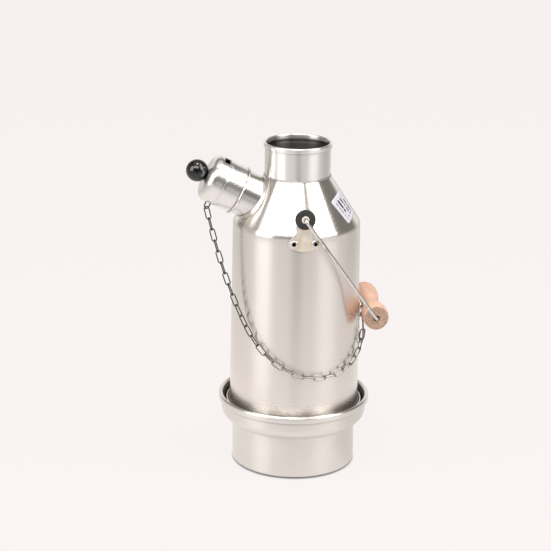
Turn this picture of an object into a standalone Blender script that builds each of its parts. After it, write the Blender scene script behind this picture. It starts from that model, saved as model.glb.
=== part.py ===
"""Storm kettle: a spun aluminium water jacket round a chimney flue, standing in a fire pan.

Metres, +Z up. The origin is the middle of the fire pan's flat underside. The spout points to -X, the
bail turns about an axis along Y, and the chain runs from the whistle cap round the front to a ring at +X.
"""
import bpy
import bmesh
import math
from mathutils import Matrix, Vector

MM = 0.001

# Fire pan: a straight can, a bowl that opens out of it and a hemmed rim
SHEET = 1.0 * MM
PAN_R = 53.2 * MM
PAN_FLOOR = 1.2 * MM
PAN_EDGE_R = 2.5 * MM
PAN_EDGE_TURN = -60.0
PAN_CAN_H = 38.5 * MM
PAN_BOWL_R = 9.6 * MM
PAN_HEM_OUT = 2.5 * MM
PAN_HEM_H = 5.8 * MM
PAN_HEM_EDGE = 0.5 * MM
PAN_WALL_H = 12.9 * MM
PAN_TOP_Z = PAN_CAN_H + PAN_BOWL_R + PAN_WALL_H
AIR_HOLE_R = 12.0 * MM
AIR_HOLE_Z = 18.0 * MM

# Fits between pieces that touch
GAP = 0.3 * MM

# Water jacket, from its skirt up to the shoulder and cone. It stands in the pan, so it follows the pan
SKIRT_OUT = 3.3 * MM
SKIRT_R = PAN_R + SKIRT_OUT
SEAM_RISE = 12.3 * MM
SEAM_LOW_Z = PAN_CAN_H + SEAM_RISE
SEAM_H = 5.2 * MM
SEAM_HIGH_Z = SEAM_LOW_Z + SEAM_H
SEAM_OUT = 2.5 * MM
SEAM_R = SKIRT_R + SEAM_OUT
SEAM_EDGE = 1.0 * MM
SEAM_CREASE = 0.8 * MM
FLARE_OUT = 0.6 * MM
FLARE_R = SKIRT_R + FLARE_OUT
FLARE_H = 9.0 * MM
BODY_IN = 0.8 * MM
BODY_LOW_R = SKIRT_R - BODY_IN
BODY_TAPER = 1.6 * MM
BODY_HIGH_R = BODY_LOW_R - BODY_TAPER
BODY_H = 157.2 * MM
BODY_HIGH_Z = SEAM_HIGH_Z + BODY_H
SHOULDER_R = 10.0 * MM
CONE_LEAN = math.radians(33.15)

# Flue: a flange inside the skirt, a long cone and the chimney neck with its hemmed rim
NECK_R = 27.75 * MM
NECK_H = 28.54 * MM
NECK_HEM_OUT = 1.05 * MM
NECK_HEM_R = NECK_R + NECK_HEM_OUT
NECK_HEM_H = 4.3 * MM
FLUE_IN = 5.7 * MM
FLUE_LOW_R = BODY_LOW_R - FLUE_IN
FLUE_FLANGE_RISE = 1.2 * MM
FLUE_FLANGE_Z = SEAM_LOW_Z + FLUE_FLANGE_RISE
FLUE_FOOT_H = 2.5 * MM
FLUE_LOW_Z = FLUE_FLANGE_Z + FLUE_FOOT_H
FLUE_CONE_DROP = 7.06 * MM

# Spout and the hole it feeds from
SPOUT_TILT = math.radians(27.0)
SPOUT_R = 19.4 * MM
SPOUT_IN = 5.1 * MM
SPOUT_LIP_X = BODY_HIGH_R - SPOUT_IN
SPOUT_RISE = 29.3 * MM
SPOUT_LIP_Z = BODY_HIGH_Z + SPOUT_RISE
SPOUT_IN_CAP = 12.0 * MM
SPOUT_HOLE_R = 16.0 * MM
SPOUT_REACH = 30.0 * MM

# Whistle cap, measured along the spout from the spout's lip line
CAP_SHEET = 0.8 * MM
CAP_H = 31.5 * MM
CAP_CORNER_R = 6.5 * MM
CAP_LIP = 0.7 * MM
CAP_LIP_H = 1.6 * MM
CAP_GROOVE_Z = 17.3 * MM
CAP_GROOVE = 0.45 * MM
WINDOW_Z = 21.2 * MM
WINDOW_H = 5.6 * MM
WINDOW_W = 8.0 * MM
WINDOW_TURN = math.radians(15.0)
WHISTLE_T = 0.8 * MM
WHISTLE_HOLE_R = 1.5 * MM

# Ball knob and its screw
KNOB_R = 9.4 * MM
KNOB_SEAT_R = 4.4 * MM
KNOB_BORE_H = 9.0 * MM
KNOB_TOP_TURN = 78.0
SCREW_R = 2.0 * MM
SCREW_HEAD_R = 3.6 * MM
SCREW_HEAD_H = 2.2 * MM

# Bail ears and what is fixed in them
PIVOT_RISE = 19.3 * MM
PIVOT_Z = BODY_HIGH_Z + PIVOT_RISE
EAR_T = 1.5 * MM
EAR_LOBE_R = 7.6 * MM
EAR_WAIST_X = 7.4 * MM
EAR_WAIST_DROP = 12.6 * MM
EAR_RIVET_X = 8.5 * MM
EAR_RIVET_DROP = 21.4 * MM
EAR_FOOT_R = 5.1 * MM
EAR_FOOT_TURN = 40.0
EAR_LOBE_TURN = -25.0
RIVET_R = 1.6 * MM
RIVET_HEAD_R = 3.25 * MM
RIVET_HEAD_H = 1.5 * MM
RIVET_EDGE_H = 0.5 * MM
RIVET_EYE_R = 0.9 * MM
RIVET_EYE_H = 2.0 * MM
RIVET_TAIL_R = 2.5 * MM
RIVET_TAIL_H = 2.0 * MM
GROMMET_R = 8.6 * MM
GROMMET_T = 2.0 * MM
GROMMET_NECK_R = 4.7 * MM
GROMMET_BACK_R = 5.8 * MM
GROMMET_BACK_T = 1.6 * MM
BUSH_R = 3.1 * MM
BUSH_PROUD = 0.5 * MM

# Bail wire, from pivot to grip
WIRE_R = 1.5 * MM
BAIL_L = 115.1 * MM
BAIL_ELBOW_R = 2.2 * MM
BAIL_ELBOW_RUN_SHARE = 1.25
BAIL_GRIP_ELBOW_R = 3.6 * MM
BAIL_GRIP_GAP = 0.4 * MM
BAIL_END = 1.5 * MM
BAIL_PEEN_SHARE = 1.6

# Turned beech grip
GRIP_L = 70.0 * MM
GRIP_WAIST_R = 7.0 * MM
GRIP_BULGE_R = 11.0 * MM
GRIP_BULGE_Y = 25.0 * MM
GRIP_END_R = 10.3 * MM
GRIP_EDGE = 1.0 * MM
GRIP_BORE_R = 2.1 * MM

# Chain, its eye under the cap and its ring on the far side
CHAIN_WIRE = 1.05 * MM
CHAIN_PITCH = 9.6 * MM
CHAIN_W = 5.2 * MM
CHAIN_LINKS = 27
CHAIN_DRAG_SHARE = 1.2
TIGHT_BOW_SHARE = 5.0
LOOSE_BOW_SHARE = 0.08
ROLL_FREE = math.radians(64.0)
ROLL_LAID = math.radians(107.0)
ROLL_FREE_LINKS = 7
ROLL_TURN_LINKS = 5
EYE_Z = 19.0 * MM
EYE_DROP = 5.6 * MM
EYE_W = 5.0 * MM
EYE_R = 0.6 * MM
EYE_TURN = math.radians(50.0)
RING_R = 14.0 * MM
RING_WIRE_R = 0.8 * MM
RING_MEETS = math.radians(100.0)
LUG_W = 6.5 * MM
LUG_T = 1.2 * MM
LUG_PLAY = 0.7 * MM
LUG_TOP = 5.5 * MM
LUG_DROP = 7.0 * MM
LUG_CURL_TURN = 440.0

# Roundness of each kind of piece, in sides
BODY_SIDES = 40
CAP_SIDES = 28
SMALL_SIDES = 10
KNOB_SIDES = 18
GRIP_SIDES = 20
RING_SIDES = 28
LINK_BEND_STEPS = 4
EYE_BEND_STEPS = 8
BAIL_BEND_STEPS = 4
GRIP_SWELL_STEPS = 7
OVERRUN = 4.0 * MM

# How often a value that depends on itself is worked out again
LEAN_ROUNDS = 20
HALVINGS = 60
CHAIN_ROUNDS = 12
CHAIN_ROUTE_STEPS = 6000

ALUMINIUM = (0.70, 0.69, 0.67, 1.0)
STEEL = (0.62, 0.61, 0.60, 1.0)
BLACK = (0.012, 0.012, 0.013, 1.0)
CREAM = (0.72, 0.66, 0.50, 1.0)
BEECH = (0.66, 0.43, 0.26, 1.0)


def clear_scene():
    for obj in list(bpy.data.objects):
        bpy.data.objects.remove(obj, do_unlink=True)


def finish(name, rgba, metallic, roughness):
    """A surface for one piece, named after what it is made of."""
    mat = bpy.data.materials.get(name)
    if mat is None:
        mat = bpy.data.materials.new(name)
        mat.use_nodes = True
        shader = mat.node_tree.nodes["Principled BSDF"]
        shader.inputs["Base Color"].default_value = rgba
        shader.inputs["Metallic"].default_value = metallic
        shader.inputs["Roughness"].default_value = roughness
    return mat


def satin_aluminium():
    return finish("satin_aluminium", ALUMINIUM, 1.0, 0.35)


def plated_steel():
    return finish("plated_steel", STEEL, 1.0, 0.25)


def black_rubber():
    return finish("black_rubber", BLACK, 0.0, 0.6)


def black_plastic():
    return finish("black_plastic", BLACK, 0.0, 0.12)


def cream_nylon():
    return finish("cream_nylon", CREAM, 0.0, 0.4)


def raw_beech():
    return finish("raw_beech", BEECH, 0.0, 0.6)


def add_object(name, mesh, mat):
    obj = bpy.data.objects.new(name, mesh)
    bpy.context.scene.collection.objects.link(obj)
    if mat is not None:
        obj.data.materials.append(mat)
    return obj


def mesh_from(bm, name, smooth):
    bmesh.ops.remove_doubles(bm, verts=bm.verts, dist=0.001 * MM)
    bmesh.ops.recalc_face_normals(bm, faces=bm.faces)
    mesh = bpy.data.meshes.new(name)
    bm.to_mesh(mesh)
    bm.free()
    if smooth:
        mesh.shade_smooth()
        mesh.set_sharp_from_angle(angle=math.radians(35.0))
    return mesh


def turned(name, outline, sides, mat):
    """Spin a closed outline of (radius, height) about Z; an outline that meets the axis closes there."""
    bm = bmesh.new()
    verts = [bm.verts.new((r, 0.0, z)) for r, z in outline]
    edges = []
    for a, b in zip(verts, verts[1:] + verts[:1]):
        if a.co.x > 0.0 or b.co.x > 0.0:
            edges.append(bm.edges.new((a, b)))
    bmesh.ops.spin(bm, geom=verts + edges, cent=(0.0, 0.0, 0.0), axis=(0.0, 0.0, 1.0),
                   angle=math.tau, steps=sides, use_merge=True, use_duplicate=False)
    return add_object(name, mesh_from(bm, name, True), mat)


def arc(centre, radius, start, end, steps):
    """Points (radius, height) round a centre, from one angle to another, in degrees from +X."""
    points = []
    for k in range(steps + 1):
        a = math.radians(start + (end - start) * k / steps)
        points.append((centre[0] + radius * math.cos(a), centre[1] + radius * math.sin(a)))
    return points


def drum(name, radius, low, high, sides):
    """A plain cylinder about Z, used as a cutter."""
    return turned(name, [(0.0, low), (radius, low), (radius, high), (0.0, high)], sides, None)


def prism(name, outline, depth, mat):
    """An outline in the XZ plane pushed out both ways along Y to a whole depth."""
    bm = bmesh.new()
    face = bm.faces.new([bm.verts.new((x, -depth / 2, z)) for x, z in outline])
    made = bmesh.ops.extrude_face_region(bm, geom=[face])
    moved = [g for g in made["geom"] if isinstance(g, bmesh.types.BMVert)]
    bmesh.ops.translate(bm, verts=moved, vec=(0.0, depth, 0.0))
    return add_object(name, mesh_from(bm, name, False), mat)


def tube(name, points, radius, resolution, closed, mat, shares=None):
    """A round wire along points, with filled ends unless it is closed."""
    curve = bpy.data.curves.new(name, "CURVE")
    curve.dimensions = "3D"
    curve.bevel_depth = radius
    curve.bevel_resolution = resolution
    curve.use_fill_caps = not closed
    spline = curve.splines.new("POLY")
    spline.points.add(len(points) - 1)
    for k, p in enumerate(points):
        spline.points[k].co = (p[0], p[1], p[2], 1.0)
        if shares is not None:
            spline.points[k].radius = shares[k]
    spline.use_cyclic_u = closed
    return add_object(name, curve, mat)


def cut(obj, cutter, operation="DIFFERENCE"):
    cutter.hide_render = True
    cutter.display_type = "WIRE"
    mod = obj.modifiers.new(cutter.name, "BOOLEAN")
    mod.operation = operation
    mod.object = cutter
    mod.solver = "EXACT"


def place(obj, matrix):
    obj.matrix_world = matrix
    return obj


def frame_along(origin, z_axis, x_hint):
    """A placement whose Z follows one direction and whose X leans to another."""
    z = Vector(z_axis).normalized()
    y = z.cross(Vector(x_hint)).normalized()
    x = y.cross(z)
    matrix = Matrix((x, y, z)).transposed().to_4x4()
    matrix.translation = Vector(origin)
    return matrix


# Sizes that follow from the named ones

def pan_wall_r():
    return PAN_R + PAN_BOWL_R


def bowl_centre_z():
    return PAN_CAN_H + PAN_BOWL_R


def skirt_z():
    """Height at which the skirt's outer edge meets the inside of the pan's bowl."""
    inner = PAN_BOWL_R - SHEET
    reach = SKIRT_R - PAN_R
    return bowl_centre_z() - math.sqrt(inner * inner - reach * reach) + GAP


def body_r(z):
    """Outer radius of the jacket's tapered wall."""
    low = SEAM_HIGH_Z + FLARE_H
    return BODY_LOW_R + (BODY_HIGH_R - BODY_LOW_R) * (z - low) / (BODY_HIGH_Z - low)


def spout_axis():
    return Vector((-math.cos(SPOUT_TILT), 0.0, math.sin(SPOUT_TILT)))


def spout_up():
    return Vector((math.sin(SPOUT_TILT), 0.0, math.cos(SPOUT_TILT)))


def spout_frame():
    """Placement of everything turned about the spout: Z runs out of the spout, X lies on its upper side."""
    return frame_along((-SPOUT_LIP_X, 0.0, SPOUT_LIP_Z), spout_axis(), spout_up())


def cap_r():
    return SPOUT_R + GAP + CAP_SHEET


def ear_inner_r():
    return BODY_HIGH_R + GAP


def ear_outer_r():
    return ear_inner_r() + EAR_T


def grommet_face():
    return ear_outer_r() + GAP + GROMMET_T


def grommet_back():
    """The back flange bears on the ear's hollow side, where the flange's rim meets it first."""
    return ear_inner_r() * math.cos(math.asin(GROMMET_BACK_R / ear_inner_r())) - GAP


def bail_arm_y():
    """The wire's bend starts a gap outside the bush."""
    return grommet_face() + BUSH_PROUD + GAP + BAIL_ELBOW_R * BAIL_ELBOW_RUN_SHARE


def bail_grip_y():
    return GRIP_L / 2 + BAIL_GRIP_GAP + BAIL_GRIP_ELBOW_R


def rest_angle():
    """The grip leans on the head of the lug's rivet, on a wall whose radius depends on the height."""
    stack = GAP + LUG_T + GAP + RIVET_HEAD_H + GAP + GRIP_WAIST_R
    angle = 0.0
    for _ in range(LEAN_ROUNDS):
        reach = body_r(PIVOT_Z - BAIL_L * math.cos(angle)) + stack
        angle = math.asin(reach / BAIL_L)
    return angle


def grip_z():
    return PIVOT_Z - BAIL_L * math.cos(rest_angle())


def jacket_outside(grow):
    """The jacket's outer line from the seam up, moved outward by grow."""
    top_r = NECK_R + GAP
    points = [(FLARE_R + grow, SEAM_HIGH_Z - SEAM_CREASE)]
    points.append((BODY_LOW_R + (FLARE_R - BODY_LOW_R) / 4 + grow, SEAM_HIGH_Z + FLARE_H / 3))
    points.append((BODY_LOW_R + grow, SEAM_HIGH_Z + FLARE_H))
    centre = (BODY_HIGH_R - SHOULDER_R, BODY_HIGH_Z)
    points += arc(centre, SHOULDER_R + grow, 0.0, math.degrees(CONE_LEAN), 3)
    low_r, low_z = points[-1]
    points.append((top_r, low_z + (low_r - top_r) / math.tan(CONE_LEAN)))
    return points


def cone_top_z():
    """Height at which the jacket's cone meets the neck."""
    return jacket_outside(0.0)[-1][1]


def fire_pan():
    wall = pan_wall_r()
    centre_z = bowl_centre_z()
    hem_r = PAN_HEM_OUT + SHEET
    hem_mid = wall - SHEET + hem_r / 2
    top_mid_z = PAN_TOP_Z - hem_r / 2
    outline = [(0.0, 0.0), (PAN_R - PAN_EDGE_R, 0.0)]
    outline += arc((PAN_R - PAN_EDGE_R, PAN_EDGE_R), PAN_EDGE_R, PAN_EDGE_TURN, 0.0, 2)
    outline += arc((PAN_R, centre_z), PAN_BOWL_R, -90.0, 0.0, 4)
    outline += arc((hem_mid, top_mid_z), hem_r / 2 - SHEET, 180.0, 0.0, 2)
    low_z = PAN_TOP_Z - PAN_HEM_H
    outer = wall - SHEET + hem_r
    outline.append((outer - SHEET, low_z + PAN_HEM_EDGE))
    outline.append((outer - PAN_HEM_EDGE, low_z))
    outline.append((outer, low_z + PAN_HEM_EDGE))
    outline += arc((hem_mid, top_mid_z), hem_r / 2, 0.0, 180.0, 4)
    outline += arc((PAN_R, centre_z), PAN_BOWL_R - SHEET, 0.0, -90.0, 3)
    outline.append((PAN_R - SHEET, PAN_CAN_H + SHEET))
    outline.append((PAN_R - SHEET, PAN_EDGE_R))
    outline.append((PAN_R - PAN_EDGE_R, PAN_FLOOR))
    outline.append((0.0, PAN_FLOOR))
    pan = turned("fire_base", outline, BODY_SIDES, satin_aluminium())
    hole = drum("air_hole_cutter", AIR_HOLE_R, PAN_R - PAN_EDGE_R - OVERRUN, PAN_R + OVERRUN, KNOB_SIDES)
    place(hole, frame_along((0.0, 0.0, AIR_HOLE_Z), (0.0, 1.0, 0.0), (1.0, 0.0, 0.0)))
    cut(pan, hole)


def outer_jacket():
    foot = skirt_z()
    outline = [(SKIRT_R - SHEET, foot), (SKIRT_R, foot), (SKIRT_R, SEAM_LOW_Z)]
    outline.append((SEAM_R - SEAM_EDGE, SEAM_LOW_Z))
    outline.append((SEAM_R, SEAM_LOW_Z + SEAM_EDGE))
    outline.append((SEAM_R, SEAM_HIGH_Z - SEAM_EDGE))
    outline.append((SEAM_R - SEAM_EDGE / 2, SEAM_HIGH_Z))
    outline.append((FLARE_R + SEAM_CREASE, SEAM_HIGH_Z))
    outline += jacket_outside(0.0)
    inner = list(reversed(jacket_outside(-SHEET)))
    inner[-1] = (SKIRT_R - SHEET, SEAM_HIGH_Z - SEAM_CREASE)
    outline += inner
    jacket = turned("outer_jacket", outline, BODY_SIDES, satin_aluminium())
    bore = drum("spout_hole_cutter", SPOUT_HOLE_R, -SPOUT_REACH, SPOUT_IN_CAP, CAP_SIDES)
    place(bore, spout_frame())
    cut(jacket, bore)
    for k, (centre, outward) in enumerate(rivet_places()):
        hole = drum("rivet_hole_cutter_%d" % k, RIVET_R + GAP, -OVERRUN, OVERRUN, SMALL_SIDES)
        place(hole, frame_along(centre, outward, (0.0, 0.0, 1.0)))
        cut(jacket, hole)


def rivet_places():
    """Where each blind rivet goes through the jacket's outer face, and the way its head faces."""
    places = []
    z = PIVOT_Z - EAR_RIVET_DROP
    turn = math.asin(EAR_RIVET_X / BODY_HIGH_R)
    for side in (-1.0, 1.0):
        for lean in (-1.0, 1.0):
            outward = Vector((lean * math.sin(turn), side * math.cos(turn), 0.0))
            places.append((outward * body_r(z) + Vector((0.0, 0.0, z)), outward))
    outward = Vector((1.0, 0.0, 0.0))
    z = grip_z()
    places.append((outward * body_r(z) + Vector((0.0, 0.0, z)), outward))
    return places


def flue():
    hem = NECK_HEM_R - (NECK_R - SHEET)
    hem_mid = NECK_HEM_R - hem / 2
    top_z = cone_top_z() + NECK_H
    hem_z = top_z - NECK_HEM_H
    high_z = cone_top_z() - FLUE_CONE_DROP
    flange_r = SKIRT_R - SHEET - GAP
    outline = [(flange_r, FLUE_FLANGE_Z), (flange_r, FLUE_FLANGE_Z + SHEET)]
    outline.append((FLUE_LOW_R + SHEET, FLUE_FLANGE_Z + SHEET))
    outline.append((FLUE_LOW_R, FLUE_LOW_Z))
    outline.append((NECK_R, high_z))
    outline.append((NECK_R, hem_z))
    outline.append((NECK_HEM_R - SHEET / 4, hem_z))
    outline.append((NECK_HEM_R, hem_z + SHEET / 2))
    outline += arc((hem_mid, top_z - hem / 2), hem / 2, 0.0, 180.0, 3)
    outline.append((NECK_R - SHEET, high_z))
    outline.append((FLUE_LOW_R - SHEET, FLUE_LOW_Z))
    outline.append((FLUE_LOW_R, FLUE_FLANGE_Z))
    turned("flue", outline, BODY_SIDES, satin_aluminium())


def spout():
    inner = SPOUT_R - SHEET
    outline = [(inner, -SPOUT_REACH), (SPOUT_R, -SPOUT_REACH), (SPOUT_R, SPOUT_IN_CAP - SHEET / 2)]
    outline.append((SPOUT_R - SHEET / 2, SPOUT_IN_CAP))
    outline.append((inner, SPOUT_IN_CAP))
    collar = turned("spout", outline, CAP_SIDES, satin_aluminium())
    place(collar, spout_frame())
    outside = jacket_outside(GAP)
    top_z = outside[-1][1]
    trim = [(0.0, SEAM_HIGH_Z)] + outside + [(0.0, top_z)]
    cut(collar, turned("spout_trim_cutter", trim, BODY_SIDES, None))


def whistle_cap(frame):
    outer = cap_r()
    inner = outer - CAP_SHEET
    hole = SCREW_R + GAP
    outline = [(inner, 0.0), (outer + CAP_LIP / 2, 0.0), (outer + CAP_LIP, CAP_LIP_H / 3)]
    outline += [(outer + CAP_LIP, CAP_LIP_H - CAP_LIP_H / 4), (outer, CAP_LIP_H)]
    outline += [(outer, CAP_GROOVE_Z - CAP_GROOVE), (outer - CAP_GROOVE, CAP_GROOVE_Z)]
    outline += [(outer, CAP_GROOVE_Z + CAP_GROOVE)]
    outline += arc((outer - CAP_CORNER_R, CAP_H - CAP_CORNER_R), CAP_CORNER_R, 0.0, 90.0, 4)
    outline += [(hole, CAP_H), (hole, CAP_H - CAP_SHEET)]
    outline += arc((outer - CAP_CORNER_R, CAP_H - CAP_CORNER_R), CAP_CORNER_R - CAP_SHEET, 90.0, 0.0, 3)
    outline += [(inner, CAP_GROOVE_Z + CAP_GROOVE), (inner - CAP_GROOVE, CAP_GROOVE_Z)]
    outline += [(inner, CAP_GROOVE_Z - CAP_GROOVE)]
    cap = turned("whistle_cap", outline, CAP_SIDES, satin_aluminium())
    place(cap, frame)
    reach = outer + OVERRUN
    window = prism("window_cutter", [(0.0, -WINDOW_H / 2), (reach, -WINDOW_H / 2), (reach, WINDOW_H / 2),
                                     (0.0, WINDOW_H / 2)], WINDOW_W, None)
    turn = Matrix.Rotation(-WINDOW_TURN, 4, "Z")
    place(window, frame @ Matrix.Translation((0.0, 0.0, WINDOW_Z)) @ turn)
    cut(cap, window)
    return cap


def whistle_disc(frame):
    outer = cap_r() - CAP_SHEET - GAP
    low = CAP_GROOVE_Z + CAP_GROOVE + GAP
    high = low + WHISTLE_T
    outline = [(WHISTLE_HOLE_R, low), (outer, low), (outer, high), (WHISTLE_HOLE_R, high)]
    return place(turned("whistle_disc", outline, CAP_SIDES, satin_aluminium()), frame)


def knob(frame):
    seat = CAP_H + GAP
    middle = seat + math.sqrt(KNOB_R * KNOB_R - KNOB_SEAT_R * KNOB_SEAT_R)
    start = math.degrees(math.atan2(seat - middle, KNOB_SEAT_R))
    bore = SCREW_R + GAP
    outline = [(bore, seat)]
    outline += arc((0.0, middle), KNOB_R, start, KNOB_TOP_TURN, 8)
    outline += [(0.0, middle + KNOB_R), (0.0, seat + KNOB_BORE_H), (bore, seat + KNOB_BORE_H)]
    return place(turned("knob", outline, KNOB_SIDES, black_plastic()), frame)


def knob_screw(frame):
    head_top = CAP_H - CAP_SHEET - GAP
    tip = CAP_H + KNOB_BORE_H - GAP
    outline = [(0.0, head_top - SCREW_HEAD_H), (SCREW_HEAD_R / 2, head_top - SCREW_HEAD_H)]
    outline += [(SCREW_HEAD_R, head_top - SCREW_HEAD_H / 3), (SCREW_HEAD_R, head_top)]
    outline += [(SCREW_R, head_top), (SCREW_R, tip - SCREW_R / 2), (SCREW_R / 2, tip), (0.0, tip)]
    return place(turned("knob_screw", outline, SMALL_SIDES, plated_steel()), frame)


def eye_frame():
    """Middle of the eye's bend: -X runs down out of the cap and Z spreads its two legs."""
    middle = Vector((-(cap_r() + EYE_DROP - EYE_W / 2), 0.0, EYE_Z))
    return spout_frame() @ Matrix.Translation(middle) @ Matrix.Rotation(-EYE_TURN, 4, "X")


def eye_hold(clearance):
    """Lowest place inside the eye, in the world, where the first link hangs."""
    frame = eye_frame()
    across = frame.to_3x3() @ Vector((0.0, 1.0, 0.0))
    down = Vector((0.0, 0.0, -1.0))
    toward = (down - across * down.dot(across)).normalized()
    return frame.translation + toward * (EYE_W / 2 - EYE_R - clearance)


def cap_chain_eye():
    """A wire staple standing on the cap's underside, turned across the first link."""
    bend = EYE_W / 2
    top = EYE_DROP - bend - GAP
    points = [(top, 0.0, -bend)]
    for k in range(EYE_BEND_STEPS + 1):
        a = math.pi * k / EYE_BEND_STEPS
        points.append((-bend * math.sin(a), 0.0, -bend * math.cos(a)))
    points.append((top, 0.0, bend))
    return place(tube("cap_chain_eye", points, EYE_R, 1, False, plated_steel()), eye_frame())


def ear_outline():
    """Half of the ear, from the foot's middle up to the top of the lobe, then mirrored."""
    foot_z = -EAR_RIVET_DROP
    half = [(0.0, foot_z - EAR_FOOT_R)]
    half += arc((EAR_RIVET_X, foot_z), EAR_FOOT_R, -90.0, EAR_FOOT_TURN, 6)
    half.append((EAR_WAIST_X, -EAR_WAIST_DROP))
    half += arc((0.0, 0.0), EAR_LOBE_R, EAR_LOBE_TURN, 90.0, 8)
    mirrored = [(-x, z) for x, z in reversed(half[1:-1])]
    return half + mirrored


def ear(name, side):
    """A pressed plate that follows the jacket's wall and stands on up beside the cone."""
    inner = ear_inner_r()
    outer = ear_outer_r()
    low = PIVOT_Z - EAR_RIVET_DROP - EAR_FOOT_R - OVERRUN
    high = PIVOT_Z + EAR_LOBE_R + OVERRUN
    ring = turned(name, [(inner, low), (outer, low), (outer, high), (inner, high)], BODY_SIDES,
                  plated_steel())
    blank = prism(name + "_blank", ear_outline(), 2 * outer, None)
    place(blank, Matrix.Translation((0.0, side * (outer + OVERRUN), PIVOT_Z)))
    cut(ring, blank, "INTERSECT")
    bore = drum(name + "_bore_cutter", GROMMET_NECK_R + GAP, 0.0, outer + OVERRUN, KNOB_SIDES)
    place(bore, frame_along((0.0, 0.0, PIVOT_Z), (0.0, side, 0.0), (1.0, 0.0, 0.0)))
    cut(ring, bore)
    first = 0 if side < 0 else 2
    for k, (centre, outward) in enumerate(rivet_places()[first:first + 2]):
        hole = drum(name + "_rivet_cutter_%d" % k, RIVET_R + GAP, -OVERRUN, OVERRUN, SMALL_SIDES)
        place(hole, frame_along(centre, outward, (0.0, 0.0, 1.0)))
        cut(ring, hole)


def blind_rivet(name, plate, centre, outward):
    """A blind rivet through a plate and the jacket, with the eye its mandrel leaves in the head."""
    head = plate + GAP
    top = head + RIVET_HEAD_H
    tail = -(SHEET + GAP)
    outline = [(RIVET_EYE_R, top), (RIVET_EYE_R, top - RIVET_EYE_H), (0.0, top - RIVET_EYE_H)]
    outline += [(0.0, tail - RIVET_TAIL_H), (RIVET_TAIL_R / 2, tail - RIVET_TAIL_H)]
    outline += [(RIVET_TAIL_R, tail - RIVET_TAIL_H / 2), (RIVET_R, tail), (RIVET_R, head)]
    outline += [(RIVET_HEAD_R, head), (RIVET_HEAD_R, head + RIVET_EDGE_H)]
    outline += [((RIVET_HEAD_R + RIVET_EYE_R) / 2, top - RIVET_EDGE_H / 4)]
    obj = turned(name, outline, SMALL_SIDES, plated_steel())
    place(obj, frame_along(centre, outward, (0.0, 0.0, 1.0)))


def grommet(name, side):
    """A black rubber grommet snapped into the ear round the bail's pivot."""
    face = grommet_face()
    bore = BUSH_R + GAP
    back = grommet_back()
    edge = GROMMET_T / 4
    outline = [(bore, back - GROMMET_BACK_T), (GROMMET_BACK_R, back - GROMMET_BACK_T)]
    outline += [(GROMMET_BACK_R, back), (GROMMET_NECK_R, back)]
    outline += [(GROMMET_NECK_R, face - GROMMET_T), (GROMMET_R, face - GROMMET_T)]
    outline += [(GROMMET_R, face - edge), (GROMMET_R - edge, face), (bore, face)]
    obj = turned(name, outline, KNOB_SIDES, black_rubber())
    place(obj, frame_along((0.0, 0.0, PIVOT_Z), (0.0, side, 0.0), (1.0, 0.0, 0.0)))


def bush(name, side):
    """A pale bush that the bail's wire turns in."""
    face = grommet_face() + BUSH_PROUD
    bore = WIRE_R + GAP
    low = grommet_back() - GROMMET_BACK_T
    edge = BUSH_PROUD / 2
    outline = [(bore, low), (BUSH_R, low), (BUSH_R, face - edge), (BUSH_R - edge, face), (bore, face)]
    obj = turned(name, outline, SMALL_SIDES, cream_nylon())
    place(obj, frame_along((0.0, 0.0, PIVOT_Z), (0.0, side, 0.0), (1.0, 0.0, 0.0)))


def rounded_path(corners, radii, steps):
    """A path through corners with an arc of the given radius at each inner one."""
    points = [Vector(corners[0])]
    for k in range(1, len(corners) - 1):
        here = Vector(corners[k])
        back = (Vector(corners[k - 1]) - here).normalized()
        ahead = (Vector(corners[k + 1]) - here).normalized()
        half = back.angle(ahead) / 2
        run = radii[k - 1] / math.tan(half)
        middle = here + (back + ahead).normalized() * (radii[k - 1] / math.sin(half))
        start = here + back * run - middle
        normal = start.cross(here + ahead * run - middle).normalized()
        sweep = math.pi - 2 * half
        for j in range(steps + 1):
            turn = Matrix.Rotation(sweep * j / steps, 3, normal)
            points.append(middle + turn @ start)
    points.append(Vector(corners[-1]))
    return points


def bail_frame():
    return Matrix.Translation((0.0, 0.0, PIVOT_Z)) @ Matrix.Rotation(-rest_angle(), 4, "Y")


def bail_wire(frame):
    """The wire from one peened end, out through the ear, down and along the grip, and back."""
    arm_y = bail_arm_y()
    grip_y = bail_grip_y()
    head_y = grommet_back() - GROMMET_BACK_T - GAP
    corners = [(0.0, -head_y, 0.0), (0.0, -arm_y, 0.0), (0.0, -grip_y, -BAIL_L)]
    corners += [(x, -y, z) for x, y, z in reversed(corners)]
    radii = [BAIL_ELBOW_R, BAIL_GRIP_ELBOW_R, BAIL_GRIP_ELBOW_R, BAIL_ELBOW_R]
    shoulder = head_y - GAP / 4
    tip = head_y - BAIL_END
    path = [Vector((0.0, -tip, 0.0)), Vector((0.0, -shoulder, 0.0))]
    path += rounded_path(corners, radii, BAIL_BEND_STEPS)
    path += [Vector((0.0, shoulder, 0.0)), Vector((0.0, tip, 0.0))]
    shares = [1.0] * len(path)
    for k in (0, 1, -1, -2):
        shares[k] = BAIL_PEEN_SHARE
    return place(tube("bail_wire", path, WIRE_R, 2, False, plated_steel(), shares), frame)


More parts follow.
